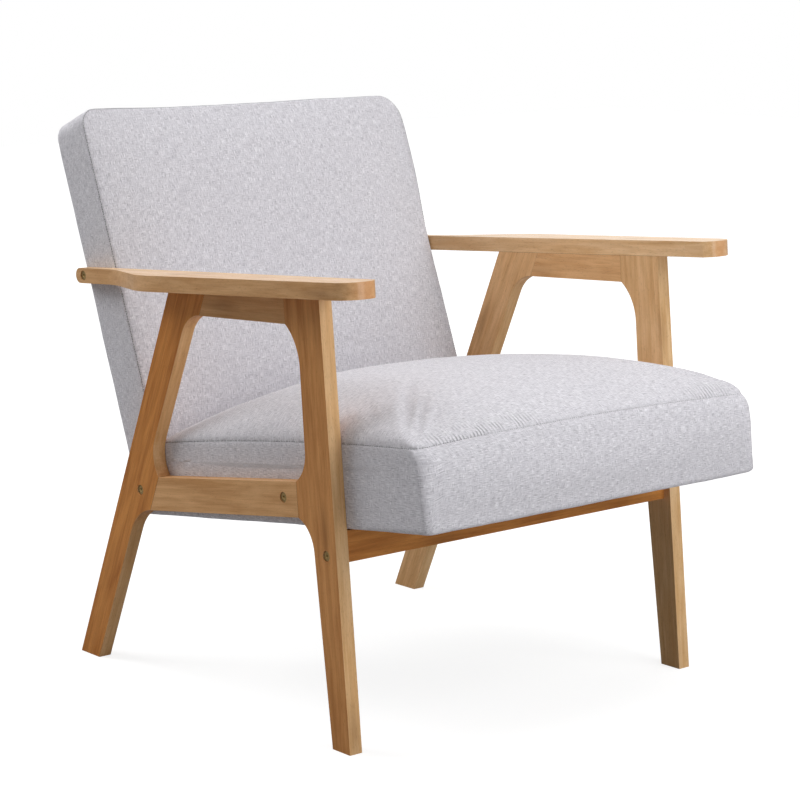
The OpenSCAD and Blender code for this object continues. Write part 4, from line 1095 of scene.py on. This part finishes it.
class CHAIR_OT_seams(bpy.types.Operator):
    """Lays the stitches into the seams of both cushions"""
    bl_idname = "chair.seams"
    bl_label = "Seam stitches"

    def execute(self, context):
        cloth = context.scene.chair_cloth
        sizes = {"Stitch pitch": cloth.pitch, "Stitch length": cloth.stitch, "Thread thickness": cloth.thread,
                 "Thread": thread_material("sewing_thread", toned(cloth.dark, 0.20), 3000.0)}
        tree = repeat_tree("Seam stitches", sizes, "Stitch pitch", "Thread", stitch)
        for piece, seams in SEWN.items():
            loops = [points + normals * cloth.thread * (0.15 - 0.45 * sunk(points))[:, None]
                     for points, normals in seams]
            along_lines(piece.replace("cushion", "stitches"), loops, tree, sizes, "linen")
        return {"FINISHED"}


class CHAIR_OT_underside(bpy.types.Operator):
    """Stretches the black dust cloth under the seat and staples it"""
    bl_idname = "chair.underside"
    bl_label = "Dust cloth and staples"

    def execute(self, context):
        steel = metal_material("zinc_plate", context.scene.chair_metal.steel, 0.34, 0.4)
        inset, staple_inset = 0.013, 0.019
        edge = outline(COVER_X - inset, inset, SEAT_DEPTH - inset, 0.011, 0.004, 40, 4)
        middle = np.array([0, SEAT_DEPTH / 2])
        rings = []
        for share in (0.08, 0.16, 0.25, 0.34, 0.43, 0.52, 0.64, 0.75, 0.84, 0.90, 0.94, 0.965, 0.985, 1.0):
            plan = middle + (edge - middle) * share
            sag = 0.0012 * (1 - share ** 4) + 0.0004 * np.sin(plan[:, 0] * 70) * (1 - share) * eased(share, 0.34, 0.64)
            rings.append(np.column_stack([plan, -0.0004 - sag - seat_droop(plan[:, 1])]))
        faces = [tuple(reversed(face)) for face in ring_faces(len(rings), len(edge))[:-1]]
        made = mesh_piece("dust_cloth", from_seat(*np.concatenate(rings).T), faces,
                          thread_material("black_cambric", (0.050, 0.050, 0.054), 700.0))
        having(made.modifiers.new("thickness", "SOLIDIFY"), thickness=0.0006, offset=-1)
        made.data.shade_smooth()
        fixed(applied(made), "dust_cloth", "seat_dust_cover")
        x, u = outline(COVER_X - staple_inset, staple_inset, SEAT_DEPTH - staple_inset, 0.010, 0.006, 60, 6).T
        sizes = {"Staple pitch": 0.045, "Crown width": 0.0095, "Wire": 0.0007, "Downward": -axes(from_seat)[2],
                 "Steel": steel}
        tree = repeat_tree("Cloth staples", sizes, "Staple pitch", "Steel", staple)
        along_lines("dust_cloth_staples", [from_seat(x, u, -0.0011 - seat_droop(u))], tree, sizes, "zinc_steel")
        return {"FINISHED"}


STRAP_WIDTH = 0.050
STRAP_THICK = 0.0016
STRAP_LEVEL = 0.0782
STRAP_WAVE = 0.0010


def straps(name, centres, side, up, replaced):
    """Flat woven straps along rows of points, with softly rounded edges."""
    r, a, b = STRAP_THICK * 0.42, STRAP_WIDTH / 2, STRAP_THICK / 2
    profile = [(-a, -b + r), (-a + r, -b), (a - r, -b), (a, -b + r), (a, b - r), (a - r, b), (-a + r, b), (-a, b - r)]
    round_run = run_along(np.array([*profile, profile[0]]))
    points, faces, loops = [], [], []
    for row in centres:
        base = len(points)
        run = run_along(row)
        for p in row:
            points += [p + side * s + up * t for s, t in profile]
        faces += [tuple(base + n for n in face) for face in ring_faces(len(row), 8)]
        for n, m in zip(run, run[1:]):
            for i, j in zip(round_run, round_run[1:]):
                loops += [(n, i), (n, j), (m, j), (m, i)]
        loops += [(0.0, 0.001 * i) for i in range(16)]
    made = mesh_piece(name, points, faces, bpy.data.materials["elastic_webbing"])
    put_cloth(made.data, loops)
    work = bmesh.new()
    work.from_mesh(made.data)
    bmesh.ops.recalc_face_normals(work, faces=work.faces)
    work.to_mesh(made.data)
    work.free()
    made.data.shade_smooth()
    fixed(made, "webbing", replaced)


def webbing_material():
    """Elastic webbing, in a coarser weave than the linen's."""
    _, tree, shader = new_material("elastic_webbing")
    where = add(tree, "ShaderNodeUVMap", uv_map="cloth")
    weave = used_group(tree, weave_group(), {"Vector": where, "Pitch": 0.0022})
    fill(shader, {"Base Color": blended(weave("Melange"), (0.028, 0.026, 0.025), (0.095, 0.090, 0.085)),
                  "Roughness": ramp(weave("Height"), 0.0, 1.8, 0.92, 0.70), "Normal": bump(weave("Height"), 0.0005)})


def woven(at, crossings, sign):
    """Height of a strap that passes over and under the straps it crosses."""
    flat, past = 0.018, 0.06
    knots = [(crossings[0] - past, STRAP_LEVEL)]
    for n, c in enumerate(crossings):
        height = STRAP_LEVEL + sign * (-1) ** n * STRAP_WAVE
        knots += [(c - flat, height), (c + flat, height)]
    knots.append((crossings[-1] + past, STRAP_LEVEL))
    return soft_curve(knots, at, 0.006)


class CHAIR_OT_webbing(bpy.types.Operator):
    """Weaves the elastic webbing of the seat, and straps the back"""
    bl_idname = "chair.webbing"
    bl_label = "Elastic webbing"

    def execute(self, context):
        webbing_material()
        across, down = np.linspace(0.0676, 0.5196, 6), np.linspace(-0.2223, 0.2223, 6)
        level, slope, rise = axes(from_seat)
        x = np.linspace(-0.2833, 0.2833, 90)
        rows = [from_seat(x, u + 0 * x, woven(x, down, (-1) ** n)) for n, u in enumerate(across)]
        straps("seat_straps_crosswise", rows, slope, rise, "seat_webbing_crosswise")
        u = np.linspace(0.0056, 0.5816, 90)
        rows = [from_seat(x + 0 * u, u, woven(u, across, -(-1) ** n)) for n, x in enumerate(down)]
        straps("seat_straps_lengthwise", rows, level, rise, "seat_webbing_lengthwise")
        x = np.linspace(-0.2806, 0.2806, 60)
        sag = 0.0006 * fall(x / 0.25, 2, 1)
        rows = [from_back(x, v + 0 * x, 0.0385 - sag) for v in np.linspace(0.100, 0.436, 5)]
        straps("back_straps", rows, *axes(from_back)[1:], "back_webbing")
        return {"FINISHED"}


class CHAIR_OT_hidden(bpy.types.Operator):
    """Finishes the frames, dowels, nuts and inserts inside the chair"""
    bl_idname = "chair.hidden"
    bl_label = "Inner frames and fittings"

    def execute(self, context):
        ways = {"across": (0, 0, 0), "deep": (0, 0, math.radians(90)), "tall": (0, math.radians(90), 0)}
        pine = {way: board_material("pine_" + way, (0.700, 0.520, 0.300), (0.600, 0.410, 0.205),
                                    (0.380, 0.210, 0.085), 0.7, turn) for way, turn in ways.items()}
        run = {"seat_right_side_rail": "deep", "seat_left_side_rail": "deep", "back_right_stile": "tall",
               "back_left_stile": "tall", "seat_corner_blocks": "tall", "back_corner_blocks": "deep"}
        made = {
            "plywood": board_material("birch_plywood", (0.640, 0.470, 0.280), (0.540, 0.370, 0.200),
                                      (0.330, 0.190, 0.090), 0.5, ways["across"]),
            "beech": board_material("beech_dowel", (0.640, 0.430, 0.260), (0.560, 0.340, 0.180),
                                    (0.360, 0.180, 0.080), 1.6, ways["across"]),
            "zinc_steel": bpy.data.materials["zinc_plate"],
            "insert_brass": metal_material("turned_brass", (0.660, 0.500, 0.230), 0.28, 0.3),
        }
        for part in frame["record"]["subparts"]:
            name, slot = part["node"], part["material_slot"]
            finish = pine[run.get(name, "across")] if slot == "pine" else made.get(slot)
            if finish is None:
                continue
            node = frame["nodes"][name]
            if not node.material_slots:
                node.data.materials.append(finish)
            for place in node.material_slots:
                place.material = finish
        return {"FINISHED"}


PIECES = (CHAIR_OT_stage, CHAIR_OT_wood, CHAIR_OT_bolts, CHAIR_OT_seat, CHAIR_OT_back, CHAIR_OT_seams,
          CHAIR_OT_underside, CHAIR_OT_webbing, CHAIR_OT_hidden)


class CHAIR_PT_panel(bpy.types.Panel):
    """Lists the chair's sizes, colours and pieces"""
    bl_idname = "CHAIR_PT_panel"
    bl_label = "Accent chair"
    bl_space_type = "VIEW_3D"
    bl_region_type = "UI"
    bl_category = "Chair"

    def draw(self, context):
        for title, group in (("Wood", context.scene.chair_wood), ("Cloth", context.scene.chair_cloth),
                             ("Metal", context.scene.chair_metal), ("Stage", context.scene.chair_stage)):
            box = self.layout.box()
            box.label(text=title)
            for field in group.__annotations__:
                box.prop(group, field)
        for piece in PIECES:
            self.layout.operator(piece.bl_idname)


GROUPS = {"chair_wood": ChairWood, "chair_cloth": ChairCloth, "chair_metal": ChairMetal, "chair_stage": ChairStage}


def register():
    for name, group in GROUPS.items():
        bpy.utils.register_class(group)
        setattr(bpy.types.Scene, name, PointerProperty(type=group))
    for kind in (*PIECES, CHAIR_PT_panel):
        bpy.utils.register_class(kind)


def unregister():
    for kind in (CHAIR_PT_panel, *reversed(PIECES)):
        bpy.utils.unregister_class(kind)
    for name, group in GROUPS.items():
        delattr(bpy.types.Scene, name)
        bpy.utils.unregister_class(group)


def main():
    register()
    linen_material(bpy.context.scene.chair_cloth)
    for piece in PIECES:
        family, name = piece.bl_idname.split(".")
        getattr(getattr(bpy.ops, family), name)()


if __name__ == "__main__":
    main()
